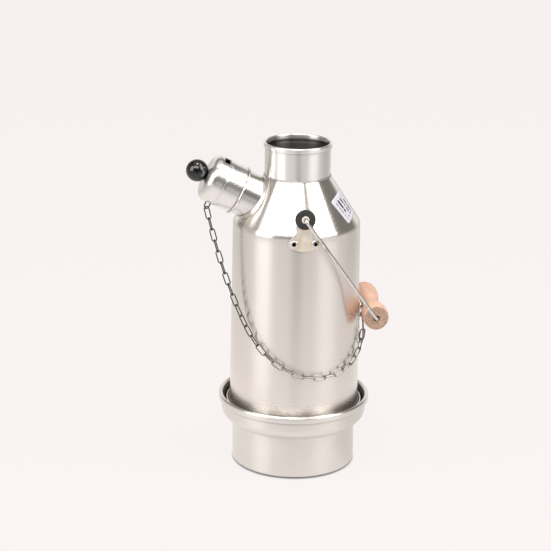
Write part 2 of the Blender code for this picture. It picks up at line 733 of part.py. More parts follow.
def grip(frame):
    """A turned spool: full near both ends, drawn in at the middle, bored for the wire."""
    half = GRIP_L / 2
    swell = GRIP_BULGE_R - GRIP_WAIST_R
    side = []
    for k in range(GRIP_SWELL_STEPS + 1):
        share = k / GRIP_SWELL_STEPS
        side.append((GRIP_WAIST_R + swell * (1.0 - math.cos(math.pi * share)) / 2, GRIP_BULGE_Y * share))
    side.append(((GRIP_BULGE_R + GRIP_END_R) / 2 + GRIP_EDGE / 5, (GRIP_BULGE_Y + half) / 2))
    side.append((GRIP_END_R, half - GRIP_EDGE))
    side.append((GRIP_END_R - GRIP_EDGE, half))
    side.append((GRIP_BORE_R, half))
    outline = [(r, -y) for r, y in reversed(side[1:])] + side
    turn = frame_along((0.0, 0.0, -BAIL_L), (0.0, 1.0, 0.0), (1.0, 0.0, 0.0))
    return place(turned("grip", outline, GRIP_SIDES, raw_beech()), frame @ turn)


def lug_ring_z():
    """Height of the ring's wire where the lug's curl holds it."""
    return grip_z() - LUG_DROP


def lug_curl_r():
    return RING_WIRE_R + LUG_PLAY + LUG_T / 2


def lug_plate_x():
    return body_r(grip_z()) + GAP + LUG_T / 2


def ring_x():
    return lug_plate_x() + lug_curl_r()


def anchor_lug():
    """A strap riveted to the jacket, its lower end curled round the ring."""
    plate_x = lug_plate_x()
    line = [(plate_x, grip_z() + LUG_TOP)]
    line += arc((ring_x(), lug_ring_z()), lug_curl_r(), 180.0, LUG_CURL_TURN, 9)
    left = []
    right = []
    for k, p in enumerate(line):
        before = line[max(k - 1, 0)]
        after = line[min(k + 1, len(line) - 1)]
        along = Vector((after[0] - before[0], after[1] - before[1])).normalized()
        side = Vector((-along.y, along.x)) * LUG_T / 2
        left.append((p[0] + side.x, p[1] + side.y))
        right.append((p[0] - side.x, p[1] - side.y))
    strap = prism("anchor_lug", left + list(reversed(right)), LUG_W, plated_steel())
    centre, outward = rivet_places()[-1]
    hole = drum("lug_rivet_cutter", RIVET_R + GAP, -OVERRUN, OVERRUN, SMALL_SIDES)
    place(hole, frame_along(centre, outward, (0.0, 0.0, 1.0)))
    cut(strap, hole)


def ring_centre():
    return Vector((ring_x(), 0.0, lug_ring_z() - (RING_R - RING_WIRE_R)))


def ring_grip_point():
    """Where the chain's last link holds the ring, low on its front side."""
    reach = RING_R - RING_WIRE_R
    spoke = Vector((0.0, -math.sin(RING_MEETS), -math.cos(RING_MEETS)))
    return ring_centre() + spoke * reach, spoke


def anchor_ring():
    reach = RING_R - RING_WIRE_R
    points = []
    for k in range(RING_SIDES):
        a = math.tau * k / RING_SIDES
        points.append((0.0, reach * math.cos(a), reach * math.sin(a)))
    ring = tube("anchor_ring", points, RING_WIRE_R, 1, True, plated_steel())
    place(ring, Matrix.Translation(ring_centre()))


def chain_radius():
    """The chain's middle line keeps half a link and a gap off the jacket."""
    return BODY_LOW_R + GAP + CHAIN_W / 2


def sag(span, fall, length):
    """Two half catenaries that share their lowest point.

    The jacket's friction makes the pull on the ring's side CHAIN_DRAG_SHARE times that on the cap's side.
    Each half is z = a (cosh(s / a) - 1). Found by halving: first where the lowest point lies for a given a,
    then the a that uses up the chain's whole length.
    """
    def low_point(a):
        b = a * CHAIN_DRAG_SHARE
        near, far = 0.0, span
        for _ in range(HALVINGS):
            mid = (near + far) / 2
            rise = a * (math.cosh(mid / a) - 1) - b * (math.cosh((span - mid) / b) - 1)
            if rise > fall:
                far = mid
            else:
                near = mid
        return (near + far) / 2

    tight, loose = span * TIGHT_BOW_SHARE, span * LOOSE_BOW_SHARE
    for _ in range(HALVINGS):
        a = (tight + loose) / 2
        b = a * CHAIN_DRAG_SHARE
        low = low_point(a)
        run = a * math.sinh(low / a) + b * math.sinh((span - low) / b)
        if run > length:
            loose = a
        else:
            tight = a
    return a, low


def chain_plan():
    """The chain seen from above: straight to the jacket, round its front and straight to the ring.

    Gives both ends, the two turns at which the chain meets and leaves the jacket, and the three runs.
    """
    hold, spoke = ring_grip_point()
    start = eye_hold(GAP)
    end = hold - spoke * (RING_WIRE_R + GAP)
    radius = chain_radius()
    start_reach = math.hypot(start.x, start.y)
    end_reach = math.hypot(end.x, end.y)
    first = math.atan2(start.y, start.x) % math.tau + math.acos(min(1.0, radius / start_reach))
    last = math.atan2(end.y, end.x) % math.tau - math.acos(min(1.0, radius / end_reach))
    run_in = math.sqrt(max(0.0, start_reach ** 2 - radius ** 2))
    run_out = math.sqrt(max(0.0, end_reach ** 2 - radius ** 2))
    return start, end, first, last, (run_in, radius * (last - first), run_out)


def chain_route(length):
    """A chain of the given length as a function of how far along its ground plan a point lies."""
    start, end, first, last, runs = chain_plan()
    run_in, run_round, run_out = runs
    span = run_in + run_round + run_out
    radius = chain_radius()
    touch = Vector((math.cos(first), math.sin(first))) * radius
    leave = Vector((math.cos(last), math.sin(last))) * radius
    a, low = sag(span, start.z - end.z, length)
    b = a * CHAIN_DRAG_SHARE
    floor = start.z - a * (math.cosh(low / a) - 1)

    def point(s):
        if s < run_in:
            plan = start.xy + (touch - start.xy) * (s / run_in)
        elif s < run_in + run_round:
            turn = first + (s - run_in) / radius
            plan = Vector((math.cos(turn), math.sin(turn))) * radius
        else:
            share = (s - run_in - run_round) / run_out if run_out > 0.0 else 1.0
            plan = leave + (end.xy - leave) * min(1.0, share)
        bow = a if s < low else b
        return Vector((plan.x, plan.y, floor + bow * (math.cosh((s - low) / bow) - 1)))

    return point, span


def chain_joints():
    """Points one pitch apart along the route, where each link meets the next.

    Straight links cut the curve's corners, so the curve is lengthened until the last link is as long as
    the rest.
    """
    length = CHAIN_LINKS * CHAIN_PITCH
    steps = CHAIN_ROUTE_STEPS
    for _ in range(CHAIN_ROUNDS):
        point, span = chain_route(length)
        joints = [point(0.0)]
        for k in range(1, steps + 1):
            p = point(span * k / steps)
            if (p - joints[-1]).length >= CHAIN_PITCH and len(joints) < CHAIN_LINKS:
                joints.append(p)
        end = point(span)
        length += CHAIN_PITCH - (end - joints[-1]).length
    joints.append(end)
    return joints


def link_curve():
    """One welded link: two straight sides and two round ends, lying in its own XY plane."""
    length = CHAIN_PITCH + 2 * CHAIN_WIRE + GAP
    bend = (CHAIN_W - CHAIN_WIRE) / 2
    reach = (length - CHAIN_WIRE) / 2 - bend
    points = []
    for end in (1.0, -1.0):
        for k in range(LINK_BEND_STEPS + 1):
            a = math.pi * k / LINK_BEND_STEPS - math.pi / 2
            points.append((end * (reach + bend * math.cos(a)), end * bend * math.sin(a), 0.0))
    return tube("chain_link_01", points, CHAIN_WIRE / 2, 1, True, plated_steel())


def link_roll(k):
    """How far a link's face is turned from the wall's normal.

    The free links face the front. Where the chain comes to lie on the wall it turns a little at each
    joint, until every second link lies nearly flat on the wall.
    """
    turned_share = (k - ROLL_FREE_LINKS) / ROLL_TURN_LINKS
    turned_share = min(1.0, max(0.0, turned_share))
    quarter = math.pi / 2 * (k % 2)
    return ROLL_FREE + (ROLL_LAID - ROLL_FREE) * turned_share + quarter


def chain():
    """Links along the route, each a quarter turn from the last."""
    joints = chain_joints()
    first_turn = chain_plan()[2]
    first = link_curve()
    for k in range(CHAIN_LINKS):
        middle = (joints[k] + joints[k + 1]) / 2
        along = (joints[k + 1] - joints[k]).normalized()
        wall_turn = max(first_turn, math.atan2(middle.y, middle.x) % math.tau)
        wall = Vector((math.cos(wall_turn), math.sin(wall_turn), 0.0))
        wall = (wall - along * wall.dot(along)).normalized()
        roll = link_roll(k)
        face = wall * math.cos(roll) + wall.cross(along) * math.sin(roll)
        obj = first
        if k > 0:
            obj = bpy.data.objects.new("chain_link_%02d" % (k + 1), first.data)
            bpy.context.scene.collection.objects.link(obj)
        place(obj, frame_along(middle, face, along))


def hold(parent_name, frame, children):
    """An empty on a joint's axis that carries the pieces moving with it."""
    empty = bpy.data.objects.new(parent_name, None)
    bpy.context.scene.collection.objects.link(empty)
    empty.matrix_world = frame
    for child in children:
        world = child.matrix_world.copy()
        child.parent = empty
        child.matrix_parent_inverse = frame.inverted()
        child.matrix_world = world


def build():
    clear_scene()
    fire_pan()
    outer_jacket()
    flue()
    spout()
    for name, side in (("front", -1.0), ("rear", 1.0)):
        ear("bail_ear_" + name, side)
        grommet("grommet_" + name, side)
        bush("bush_" + name, side)
    places = rivet_places()
    plate = GAP + EAR_T
    for k, name in enumerate(("front_left", "front_right", "rear_left", "rear_right")):
        blind_rivet("ear_rivet_" + name, plate, *places[k])
    anchor_lug()
    blind_rivet("anchor_rivet", GAP + LUG_T, *places[-1])
    anchor_ring()
    chain()
    frame = spout_frame()
    cap_pieces = [whistle_cap(frame), whistle_disc(frame), knob(frame), knob_screw(frame),
                  cap_chain_eye()]
    hold("cap_axis", frame, cap_pieces)
    frame = bail_frame()
    hold("bail_pivot", frame, [bail_wire(frame), grip(frame)])


build()
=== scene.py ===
"""Storm kettle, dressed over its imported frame.

Metres, +Z up. The origin is the middle of the fire pan's flat underside, the spout points to -X, the bail
turns about an axis along Y, and the chain runs from the whistle cap round the front to a ring at +X.
"""
import math
import bmesh
import bpy
import numpy as np
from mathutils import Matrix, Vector


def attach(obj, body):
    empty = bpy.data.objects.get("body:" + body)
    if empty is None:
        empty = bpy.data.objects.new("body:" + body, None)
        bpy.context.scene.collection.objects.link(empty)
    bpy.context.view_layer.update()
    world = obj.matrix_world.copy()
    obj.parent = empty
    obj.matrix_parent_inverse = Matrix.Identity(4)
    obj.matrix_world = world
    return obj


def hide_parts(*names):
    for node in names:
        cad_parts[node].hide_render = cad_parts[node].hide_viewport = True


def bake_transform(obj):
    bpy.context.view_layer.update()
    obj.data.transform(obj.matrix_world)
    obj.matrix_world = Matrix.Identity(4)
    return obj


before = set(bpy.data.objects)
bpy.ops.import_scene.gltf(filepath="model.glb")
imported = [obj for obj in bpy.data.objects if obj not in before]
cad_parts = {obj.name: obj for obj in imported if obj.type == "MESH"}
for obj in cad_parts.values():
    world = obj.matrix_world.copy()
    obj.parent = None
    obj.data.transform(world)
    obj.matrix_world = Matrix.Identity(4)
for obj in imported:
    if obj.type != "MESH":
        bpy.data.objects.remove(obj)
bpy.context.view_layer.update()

# Camera: a long lens a metre and a half away, a little to the left of the kettle's front, looking down on it
# by eighteen degrees.
def in_scene(name, data):
    """A new object with that data, in the scene."""
    made = bpy.data.objects.new(name, data)
    bpy.context.scene.collection.objects.link(made)
    return made


camera_data = bpy.data.cameras.new("camera")
camera_data.sensor_width = 36.0
camera_data.lens = 119.92
camera_data.clip_end = 20.0
camera = in_scene("camera", camera_data)
camera.location = (-0.1906, -1.48784, 0.6485)
camera.rotation_euler = [math.radians(turn) for turn in (72.1682, -0.7901, -6.3858)]
bpy.context.scene.camera = camera
bpy.context.scene.view_settings.view_transform = "Standard"


# Studio: white paper that runs on behind the kettle, two softboxes on the left and two on the right, a small
# one overhead, and a room that is dimmer where the camera stands and beside the lamps.
def linear(code):
    """An sRGB hex colour turned to linear by the sRGB curve, with full alpha."""
    share = np.array([int(code[k:k + 2], 16) for k in (1, 3, 5)]) / 255.0
    share = np.where(share <= 0.04045, share / 12.92, ((share + 0.055) / 1.055) ** 2.4)
    return (*share.tolist(), 1.0)


def add_node(tree, kind, settings=None, inputs=None, to=None, output=0):
    """One shader node. A setting is a property. An input is a value, another node's output or a node, whose
    first output it then takes. Where a socket is given in to, the new node's output is linked to it.
    """
    made = tree.nodes.new(kind)
    for key, value in (settings or {}).items():
        setattr(made, key, value)
    for key, value in (inputs or {}).items():
        if isinstance(value, bpy.types.Node):
            value = value.outputs[0]
        if isinstance(value, bpy.types.NodeSocket):
            tree.links.new(value, made.inputs[key])
        else:
            made.inputs[key].default_value = value
    if to is not None:
        tree.links.new(made.outputs[output], to)
    return made


SIGHT = math.radians(-97.3)
LAMP_DISTANCE = 1.7


def toward(azimuth, elevation):
    """Unit direction by degrees right of the camera and up from level, seen from the kettle."""
    turn = SIGHT + math.radians(azimuth)
    rise = math.radians(elevation)
    return Vector((math.cos(turn) * math.cos(rise), math.sin(turn) * math.cos(rise), math.sin(rise)))


def softbox(name, azimuth, elevation, width, height, watts):
    """A rectangular lamp that faces the kettle's middle, with its width and height in metres."""
    lamp = bpy.data.lights.new(name, "AREA")
    lamp.shape = "RECTANGLE"
    lamp.size = width
    lamp.size_y = height
    lamp.energy = watts
    holder = in_scene(name, lamp)
    middle = Vector((0.0, 0.0, 0.15))
    holder.location = middle + toward(azimuth, elevation) * LAMP_DISTANCE
    holder.rotation_euler = (middle - holder.location).to_track_quat("-Z", "Y").to_euler()


softbox("softbox_high_left", -12.0, 50.0, 1.35, 0.7, 13.4)
softbox("softbox_low_left", -60.0, 26.0, 0.9, 1.25, 14.5)
softbox("softbox_right", 60.5, 34.0, 1.02, 1.2, 15.4)
softbox("softbox_top_right", 78.0, 62.0, 0.7, 0.5, 4.4)
softbox("softbox_overhead", -6.0, 86.0, 0.42, 0.24, 5.2)


def near(tree, way, azimuth, elevation, inner, outer):
    """1 within inner degrees of a direction and 0 past outer degrees, with a smooth step between."""
    dot = add_node(tree, "ShaderNodeVectorMath", {"operation": "DOT_PRODUCT"},
                   {0: way, 1: toward(azimuth, elevation)})
    return add_node(tree, "ShaderNodeMapRange", {"interpolation_type": "SMOOTHSTEP"},
                    {"Value": dot.outputs["Value"], "From Min": math.cos(math.radians(outer)),
                     "From Max": math.cos(math.radians(inner))}).outputs["Result"]


def camera_gap(tree, way):
    """1 in the narrow upright strip where the camera and its stand hide the light, from the kettle."""
    flat = add_node(tree, "ShaderNodeVectorMath", {"operation": "MULTIPLY"}, {0: way, 1: (1.0, 1.0, 0.0)})
    level = add_node(tree, "ShaderNodeVectorMath", {"operation": "NORMALIZE"}, {0: flat})
    return near(tree, level.outputs[0], 2.0, 0.0, 2.0, 12.0)


PAPER = linear("#f8f2f1")
GAP_IN_ROOM = 0.5
world = bpy.data.worlds.new("studio")
world.use_nodes = True
bpy.context.scene.world = world
sky = world.node_tree
sky.nodes.clear()
looks = add_node(sky, "ShaderNodeTexCoord").outputs["Generated"]
tone = linear("#7f7a77")
for azimuth, elevation, inner, outer, code in ((180.0, -8.0, 32.0, 56.0, "#f8f2f1"),
                                               (-95.0, 6.0, 10.0, 34.0, "#c8c2be"),
                                               (112.0, 28.0, 8.0, 30.0, "#7e7a76"),
                                               (0.0, 90.0, 22.0, 42.0, "#e6e1dd")):
    share = near(sky, looks, azimuth, elevation, inner, outer)
    tone = add_node(sky, "ShaderNodeMix", {"data_type": "RGBA"},
                    {0: share, 6: tone, 7: linear(code)}).outputs[2]
gap = add_node(sky, "ShaderNodeMath", {"operation": "MULTIPLY"},
               {0: camera_gap(sky, looks), 1: GAP_IN_ROOM})
room = add_node(sky, "ShaderNodeMix", {"data_type": "RGBA"}, {0: gap, 6: tone, 7: linear("#2a2826")})
rays = add_node(sky, "ShaderNodeLightPath")
seen = add_node(sky, "ShaderNodeMix", {"data_type": "RGBA"},
                {0: rays.outputs["Is Camera Ray"], 6: room.outputs[2], 7: PAPER})
glow = add_node(sky, "ShaderNodeBackground", None, {"Color": seen.outputs[2], "Strength": 1.0})
add_node(sky, "ShaderNodeOutputWorld", None, {"Surface": glow.outputs["Background"]})

# The floor lies a hair under the pan's foot, so that the two faces don't coincide.
PAPER_REACH = 8.0
PAPER_DROP = 0.0002
floor_mesh = bpy.data.meshes.new("paper_floor")
corners = ((-1, -1), (1, -1), (1, 1), (-1, 1))
floor_mesh.from_pydata([(x * PAPER_REACH, y * PAPER_REACH, 0.0) for x, y in corners], [], [(0, 1, 2, 3)])
floor = in_scene("paper_floor", floor_mesh)
floor.location = (0.0, 0.0, -PAPER_DROP)
# The paper's own light is full where the camera sees it. In reflections it falls off away from the kettle,
# more so where the camera stands and at the paper's edge on the right, and again on the right by the pan.
GLOW_NEAR, GLOW_DROP_FAR, GLOW_DROP_GAP, GLOW_DROP_EDGE, GLOW_DROP_RIGHT = 1.03, -0.34, -0.49, -0.14, -0.18
GLOW_SHARE = 0.96
paper = bpy.data.materials.new("background_paper")
paper.use_nodes = True
tree = paper.node_tree
tree.nodes.clear()
rays = add_node(tree, "ShaderNodeLightPath")
spot = add_node(tree, "ShaderNodeNewGeometry").outputs["Position"]
away = add_node(tree, "ShaderNodeVectorMath", {"operation": "LENGTH"}, {0: spot})
fall = add_node(tree, "ShaderNodeMapRange", {"interpolation_type": "SMOOTHSTEP"},
                {"Value": away.outputs["Value"], "From Min": 0.05, "From Max": 1.1})
along = add_node(tree, "ShaderNodeVectorMath", {"operation": "NORMALIZE"}, {0: spot})
edge_of_paper = add_node(tree, "ShaderNodeMath", {"operation": "MULTIPLY"},
                         {0: near(tree, along.outputs[0], 118.0, 0.0, 4.0, 24.0), 1: GLOW_DROP_EDGE})
in_gap = add_node(tree, "ShaderNodeMath", {"operation": "MULTIPLY_ADD"},
                  {0: camera_gap(tree, spot), 1: GLOW_DROP_GAP, 2: edge_of_paper})
far_drop = add_node(tree, "ShaderNodeMath", {"operation": "ADD"}, {0: in_gap, 1: GLOW_DROP_FAR})
close_by = add_node(tree, "ShaderNodeMapRange", {"interpolation_type": "SMOOTHSTEP"},
                    {"Value": away.outputs["Value"], "From Min": 0.12, "From Max": 0.3,
                     "To Min": GLOW_DROP_RIGHT, "To Max": 0.0})
shade_side = add_node(tree, "ShaderNodeMath", {"operation": "MULTIPLY_ADD"},
                      {0: near(tree, along.outputs[0], 100.0, 0.0, 6.0, 42.0), 1: close_by,
                       2: GLOW_NEAR})
dimmed = add_node(tree, "ShaderNodeMath", {"operation": "MULTIPLY_ADD"},
                  {0: fall, 1: far_drop, 2: shade_side})
strength = add_node(tree, "ShaderNodeMix", {"data_type": "FLOAT"},
                    {0: rays.outputs["Is Camera Ray"], 2: dimmed, 3: 1.0})
# Painted contact shadow: the paper's light is dimmed within 2 mm of the kettle.
floor_occlusion = add_node(tree, "ShaderNodeAmbientOcclusion", {"samples": 8}, {"Distance": 0.002})
painted_contact_shadow = add_node(tree, "ShaderNodeMapRange", None,
                 {"Value": floor_occlusion.outputs["AO"], "To Min": 0.2, "To Max": 1.0})
level = add_node(tree, "ShaderNodeMath", {"operation": "MULTIPLY"}, {0: strength, 1: painted_contact_shadow})
mirror = add_node(tree, "ShaderNodeMath", {"operation": "MAXIMUM"},
                  {0: rays.outputs["Is Glossy Ray"], 1: rays.outputs["Is Transmission Ray"]})
shown = add_node(tree, "ShaderNodeMath", {"operation": "MAXIMUM"},
                 {0: rays.outputs["Is Camera Ray"], 1: mirror})
amount = add_node(tree, "ShaderNodeMath", {"operation": "MULTIPLY"}, {0: shown, 1: GLOW_SHARE})
matt = add_node(tree, "ShaderNodeBsdfDiffuse", None, {"Color": PAPER})
lit = add_node(tree, "ShaderNodeEmission", None, {"Color": PAPER, "Strength": level})
mixed = add_node(tree, "ShaderNodeMixShader", None,
                 {0: amount, 1: matt.outputs["BSDF"], 2: lit.outputs["Emission"]})
add_node(tree, "ShaderNodeOutputMaterial", None, {"Surface": mixed.outputs["Shader"]})
floor_mesh.materials.append(paper)


# Fire pan: one disc of aluminium, spun into a straight can with a bowl above it and its rim rolled over.
# The lathe leaves it satin, with fine lines round the axis. The air hole is punched through the far side.
# Outlines are in millimetres, as (distance from the axis, height).
MM = 0.001
SAME_POINT = 0.0005 * MM
SHARP = math.radians(38.0)
COLUMNS = 160


def arc(centre_r, centre_z, radius, start, end, count=9):
    """Points of a circle from one angle to another, in degrees: centre + radius (cos a, sin a)."""
    turn = np.radians(np.linspace(start, end, count))
    return np.stack([centre_r + radius * np.cos(turn), centre_z + radius * np.sin(turn)], 1)


def line(start, end, count):
    """Evenly spaced points from start to end, without the last one."""
    share = np.linspace(0.0, 1.0, count, endpoint=False)[:, None]
    return np.array(start) * (1.0 - share) + np.array(end) * share


def surface(name, grid, finishes, rows_close, columns_close=True, row_finish=None, flat_map=None):
    """One quad between each four neighbours in a grid of points, in millimetres.

    A closed direction joins its last line to its first. Points that meet at a pole are merged. The UV map
    "turn" runs from 0 to 1 along the columns and in millimetres along the rows, unless flat_map gives it.
    """
    rows, columns = grid.shape[:2]
    row, column = np.meshgrid(np.arange(rows if rows_close else rows - 1),
                              np.arange(columns if columns_close else columns - 1), indexing="ij")
    row, column = row.ravel(), column.ravel()
    rows_of = np.stack([row, row + 1, row + 1, row], 1)
    columns_of = np.stack([column, column, column + 1, column + 1], 1)
    index = (rows_of % rows) * columns + columns_of % columns
    mesh = bpy.data.meshes.new(name)
    mesh.from_pydata((grid.reshape(-1, 3) * MM).tolist(), [], index.tolist())
    step = np.linalg.norm(np.roll(grid, -1, 0) - grid, axis=2).mean(1)
    along = np.concatenate([[0.0], np.cumsum(step)])
    if flat_map is None:
        turn = np.stack([columns_of / columns, along[rows_of]], 2)
    else:
        turn = flat_map[rows_of % rows, columns_of % columns]
    layer = mesh.uv_layers.new(name="turn")
    layer.data.foreach_set("uv", turn.ravel().astype(np.float32))
    for finish in finishes:
        mesh.materials.append(finish)
    if row_finish is not None:
        mesh.polygons.foreach_set("material_index", np.asarray(row_finish)[row].astype(np.int32))
    shell = bmesh.new()
    shell.from_mesh(mesh)
    bmesh.ops.remove_doubles(shell, verts=shell.verts, dist=SAME_POINT)
    bmesh.ops.recalc_face_normals(shell, faces=shell.faces)
    shell.to_mesh(mesh)
    shell.free()
    mesh.shade_smooth()
    mesh.set_sharp_from_angle(angle=SHARP)
    return in_scene(name, mesh)


def placed(grid, place):
    """Points moved by a 3 x 4 placement: its first three columns are the axes, its last the origin."""
    return grid @ place[:, :3].T + place[:, 3]


UPRIGHT = np.eye(3, 4)


def spun(name, outline, finishes, place=UPRIGHT, columns=COLUMNS, closed=True, row_finish=None):
    """An outline of (radius, height) turned about Z: each point goes round as (r cos a, r sin a, z)."""
    turn = math.pi / 2 + np.arange(columns) * math.tau / columns
    r, z = outline[:, :1], outline[:, 1:]
    grid = np.stack([r * np.cos(turn), r * np.sin(turn), np.broadcast_to(z, (len(outline), columns))], 2)
    return surface(name, placed(grid, place), finishes, closed, True, row_finish)


def blank(name):
    """A new material, its nodes and its shader."""
    made = bpy.data.materials.new(name)
    made.use_nodes = True
    return made, made.node_tree, made.node_tree.nodes["Principled BSDF"]


def spun_metal(name, code, roughness, across=UPRIGHT, mark_share=0.0, polished=(), shade_reach=1.5):
    """Spun aluminium, satin from the lathe: its highlights are drawn out along the axis by lines round it.

    The real lines are some 0.1 mm apart, too fine for this view, so they are drawn about 0.7 mm apart.
    Each of polished is (height, height, share, share): the roughness goes from one share to the other
    between two heights. mark_share darkens soft patches, as handling and heat leave them. Within the given
    distance of another surface, in corners and gaps, the colour is painted darker as painted shade.
    """
    made, tree, shader = blank(name)
    shader.inputs["Metallic"].default_value = 1.0
    shader.inputs["Anisotropic"].default_value = 0.8
    shader.inputs["Anisotropic Rotation"].default_value = 0.25
    spot = add_node(tree, "ShaderNodeTexCoord").outputs["Object"]
    tilt = math.atan2(across[0, 2], across[2, 2])
    turned = add_node(tree, "ShaderNodeMapping", None, {"Vector": spot, "Rotation": (0.0, -tilt, 0.0)})
    drawn = add_node(tree, "ShaderNodeMapping", None, {"Vector": turned, "Scale": (28.0, 28.0, 1400.0)})
    lines = add_node(tree, "ShaderNodeTexNoise", None,
                     {"Vector": drawn, "Scale": 1.0, "Detail": 3.0, "Roughness": 0.62})
    patches = add_node(tree, "ShaderNodeTexNoise", None,
                       {"Vector": spot, "Scale": 34.0, "Detail": 3.0, "Roughness": 0.55})
    deep = add_node(tree, "ShaderNodeMapRange", None,
                    {"Value": lines, "From Min": 0.32, "From Max": 0.68, "To Min": 0.985,
                     "To Max": 1.01})
    worn = add_node(tree, "ShaderNodeMapRange", None,
                    {"Value": patches, "From Min": 0.35, "From Max": 0.65,
                     "To Min": 1.0 - mark_share, "To Max": 1.0})
    shade = add_node(tree, "ShaderNodeMath", {"operation": "MULTIPLY"}, {0: deep, 1: worn})
    # Painted shade: the colour is darkened in corners and gaps, near another surface.
    corner_occlusion = add_node(tree, "ShaderNodeAmbientOcclusion", {"samples": 6}, {"Distance": shade_reach * MM})
    painted_gap_shade = add_node(tree, "ShaderNodeMapRange", None,
                    {"Value": corner_occlusion.outputs["AO"], "From Min": 0.4, "From Max": 0.92, "To Min": 0.22,
                     "To Max": 1.0})
    shade = add_node(tree, "ShaderNodeMath", {"operation": "MULTIPLY"}, {0: shade, 1: painted_gap_shade})
    add_node(tree, "ShaderNodeVectorMath", {"operation": "SCALE"},
             {0: linear(code)[:3], "Scale": shade}, to=shader.inputs["Base Color"])
    rough = add_node(tree, "ShaderNodeMapRange", None,
                     {"Value": lines, "From Min": 0.3, "From Max": 0.7,
                      "To Min": roughness * 0.96, "To Max": roughness * 1.04})
    level = rough.outputs[0]
    height = add_node(tree, "ShaderNodeSeparateXYZ", None, {0: spot})
    for low, high, share_low, share_high in polished:
        polish = add_node(tree, "ShaderNodeMapRange", {"interpolation_type": "SMOOTHSTEP"},
                          {"Value": height.outputs["Z"], "From Min": low * MM, "From Max": high * MM,
                           "To Min": share_low, "To Max": share_high})
        level = add_node(tree, "ShaderNodeMath", {"operation": "MULTIPLY"},
                         {0: level, 1: polish}).outputs[0]
    tree.links.new(level, shader.inputs["Roughness"])
    add_node(tree, "ShaderNodeBump", None,
             {"Height": lines, "Strength": 0.035, "Distance": 0.02 * MM},
             to=shader.inputs["Normal"])
    add_node(tree, "ShaderNodeTangent", {"direction_type": "UV_MAP", "uv_map": "turn"},
             to=shader.inputs["Tangent"])
    return made


def bore(piece, cutter):
    """Cuts a hole through the piece and removes the cutter."""
    cut = piece.modifiers.new(cutter.name, "BOOLEAN")
    cut.solver = "EXACT"
    cut.object = cutter
    ready = piece.evaluated_get(bpy.context.evaluated_depsgraph_get())
    mesh = bpy.data.meshes.new_from_object(ready)
    piece.modifiers.clear()
    piece.data = mesh
    mesh.set_sharp_from_angle(angle=SHARP)
    bpy.data.objects.remove(cutter)


def facing(origin, z_axis, x_axis):
    """A placement whose Z follows one direction and whose X leans to another."""
    z = np.array(z_axis, float) / np.linalg.norm(z_axis)
    y = np.cross(z, x_axis)
    y /= np.linalg.norm(y)
    return np.stack([np.cross(y, z), y, z, np.array(origin, float)], 1)


pan_outline = np.concatenate([
    [(0.0, 0.0)], line((20.0, 0.0), (50.7, 0.0), 4), arc(50.7, 2.5, 2.5, -90.0, 0.0, 8),
    line((53.2, 4.0), (53.2, 37.0), 8), arc(54.5, 37.25, 1.3, 180.0, 90.0, 7),
    arc(53.2, 48.1, 9.6, -81.0, 0.0, 20), [(62.8, 54.0), (62.8, 57.5), (63.1, 57.5), (63.2, 55.9)],
    arc(64.3, 56.2, 1.0, -150.0, 0.0, 9), arc(63.55, 59.25, 1.75, 0.0, 180.0, 16),
    arc(53.2, 48.1, 8.6, 0.0, -90.0, 16), [(52.4, 39.4), (52.2, 39.1)],
    line((52.2, 38.0), (52.2, 4.0), 6), arc(50.7, 2.7, 1.5, 0.0, -90.0, 6),
    line((48.0, 1.2), (10.0, 1.2), 4), [(0.0, 1.2)]])
pan_metal = spun_metal("spun_aluminium_satin_pan", "#ebe7e1", 0.33, UPRIGHT, 0.04, shade_reach=3.0)
pan_inside = spun_metal("spun_aluminium_dull_pan_inside", "#9a958f", 0.48, UPRIGHT, 0.12)
pan_rows = np.zeros(len(pan_outline), int)
pan_rows[np.argmax(pan_outline[:, 1]) + 7:] = 1
pan = spun("fire_pan_spun", pan_outline, [pan_metal, pan_inside], closed=False, columns=192,
           row_finish=pan_rows)
air_hole = spun("air_hole_cutter", np.array([(0.0, 44.0), (12.0, 44.0), (12.0, 58.0), (0.0, 58.0)]),
                [pan_metal], facing((0.0, 0.0, 18.0), (0.0, 1.0, 0.0), (1.0, 0.0, 0.0)), 64, False)
bore(pan, air_hole)
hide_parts("fire_base")
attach(pan, "pan")


# Water jacket: a spun aluminium tube with a rolled seam at its foot, a slight taper, a rounded shoulder and
# a cone that is buffed brighter than the satin wall. Its skirt stands in the pan's bowl.
CONE_LEAN = 33.15
CONE_TOP_R, CONE_TOP_Z = 28.05, 256.06
body = np.concatenate([
    line((55.7, 65.0), (54.1, 213.2), 14), arc(44.1, 213.2, 10.0, 0.0, CONE_LEAN, 14),
    line((51.4, 220.3), (CONE_TOP_R, CONE_TOP_Z), 9), [(CONE_TOP_R, CONE_TOP_Z)]])
body_inside = np.concatenate([
    [(28.05, 254.2)], line((29.0, 252.8), (50.0, 220.6), 6), arc(44.1, 213.2, 9.0, CONE_LEAN, 0.0, 8),
    line((53.1, 212.0), (54.7, 65.0), 8)])
share = np.linspace(0.0, 1.0, 8, endpoint=False)
flare = np.stack([55.7 + 1.4 * (1.0 - share) ** 2, 55.2 + 9.8 * share], 1)
jacket_outline = np.concatenate([
    [(55.5, 40.46), (56.5, 40.46), (56.5, 50.8)], arc(58.0, 51.8, 1.0, -90.0, 0.0, 7),
    arc(58.3, 55.3, 0.7, 0.0, 90.0, 7), [(57.9, 56.0), (57.5, 55.5)], flare, body, body_inside,
    [(55.5, 55.0)]])
jacket_metal = spun_metal("spun_aluminium_satin_jacket", "#f0ebe5", 0.33,
                          polished=((207.0, 215.0, 1.0, 0.7), (66.0, 96.0, 0.82, 1.0)))
jacket = spun("water_jacket_spun", jacket_outline, [jacket_metal], columns=224)
TILT = math.radians(27.0)
SPOUT = facing((-49.0, 0.0, 242.5), (-math.cos(TILT), 0.0, math.sin(TILT)),
               (math.sin(TILT), 0.0, math.cos(TILT)))
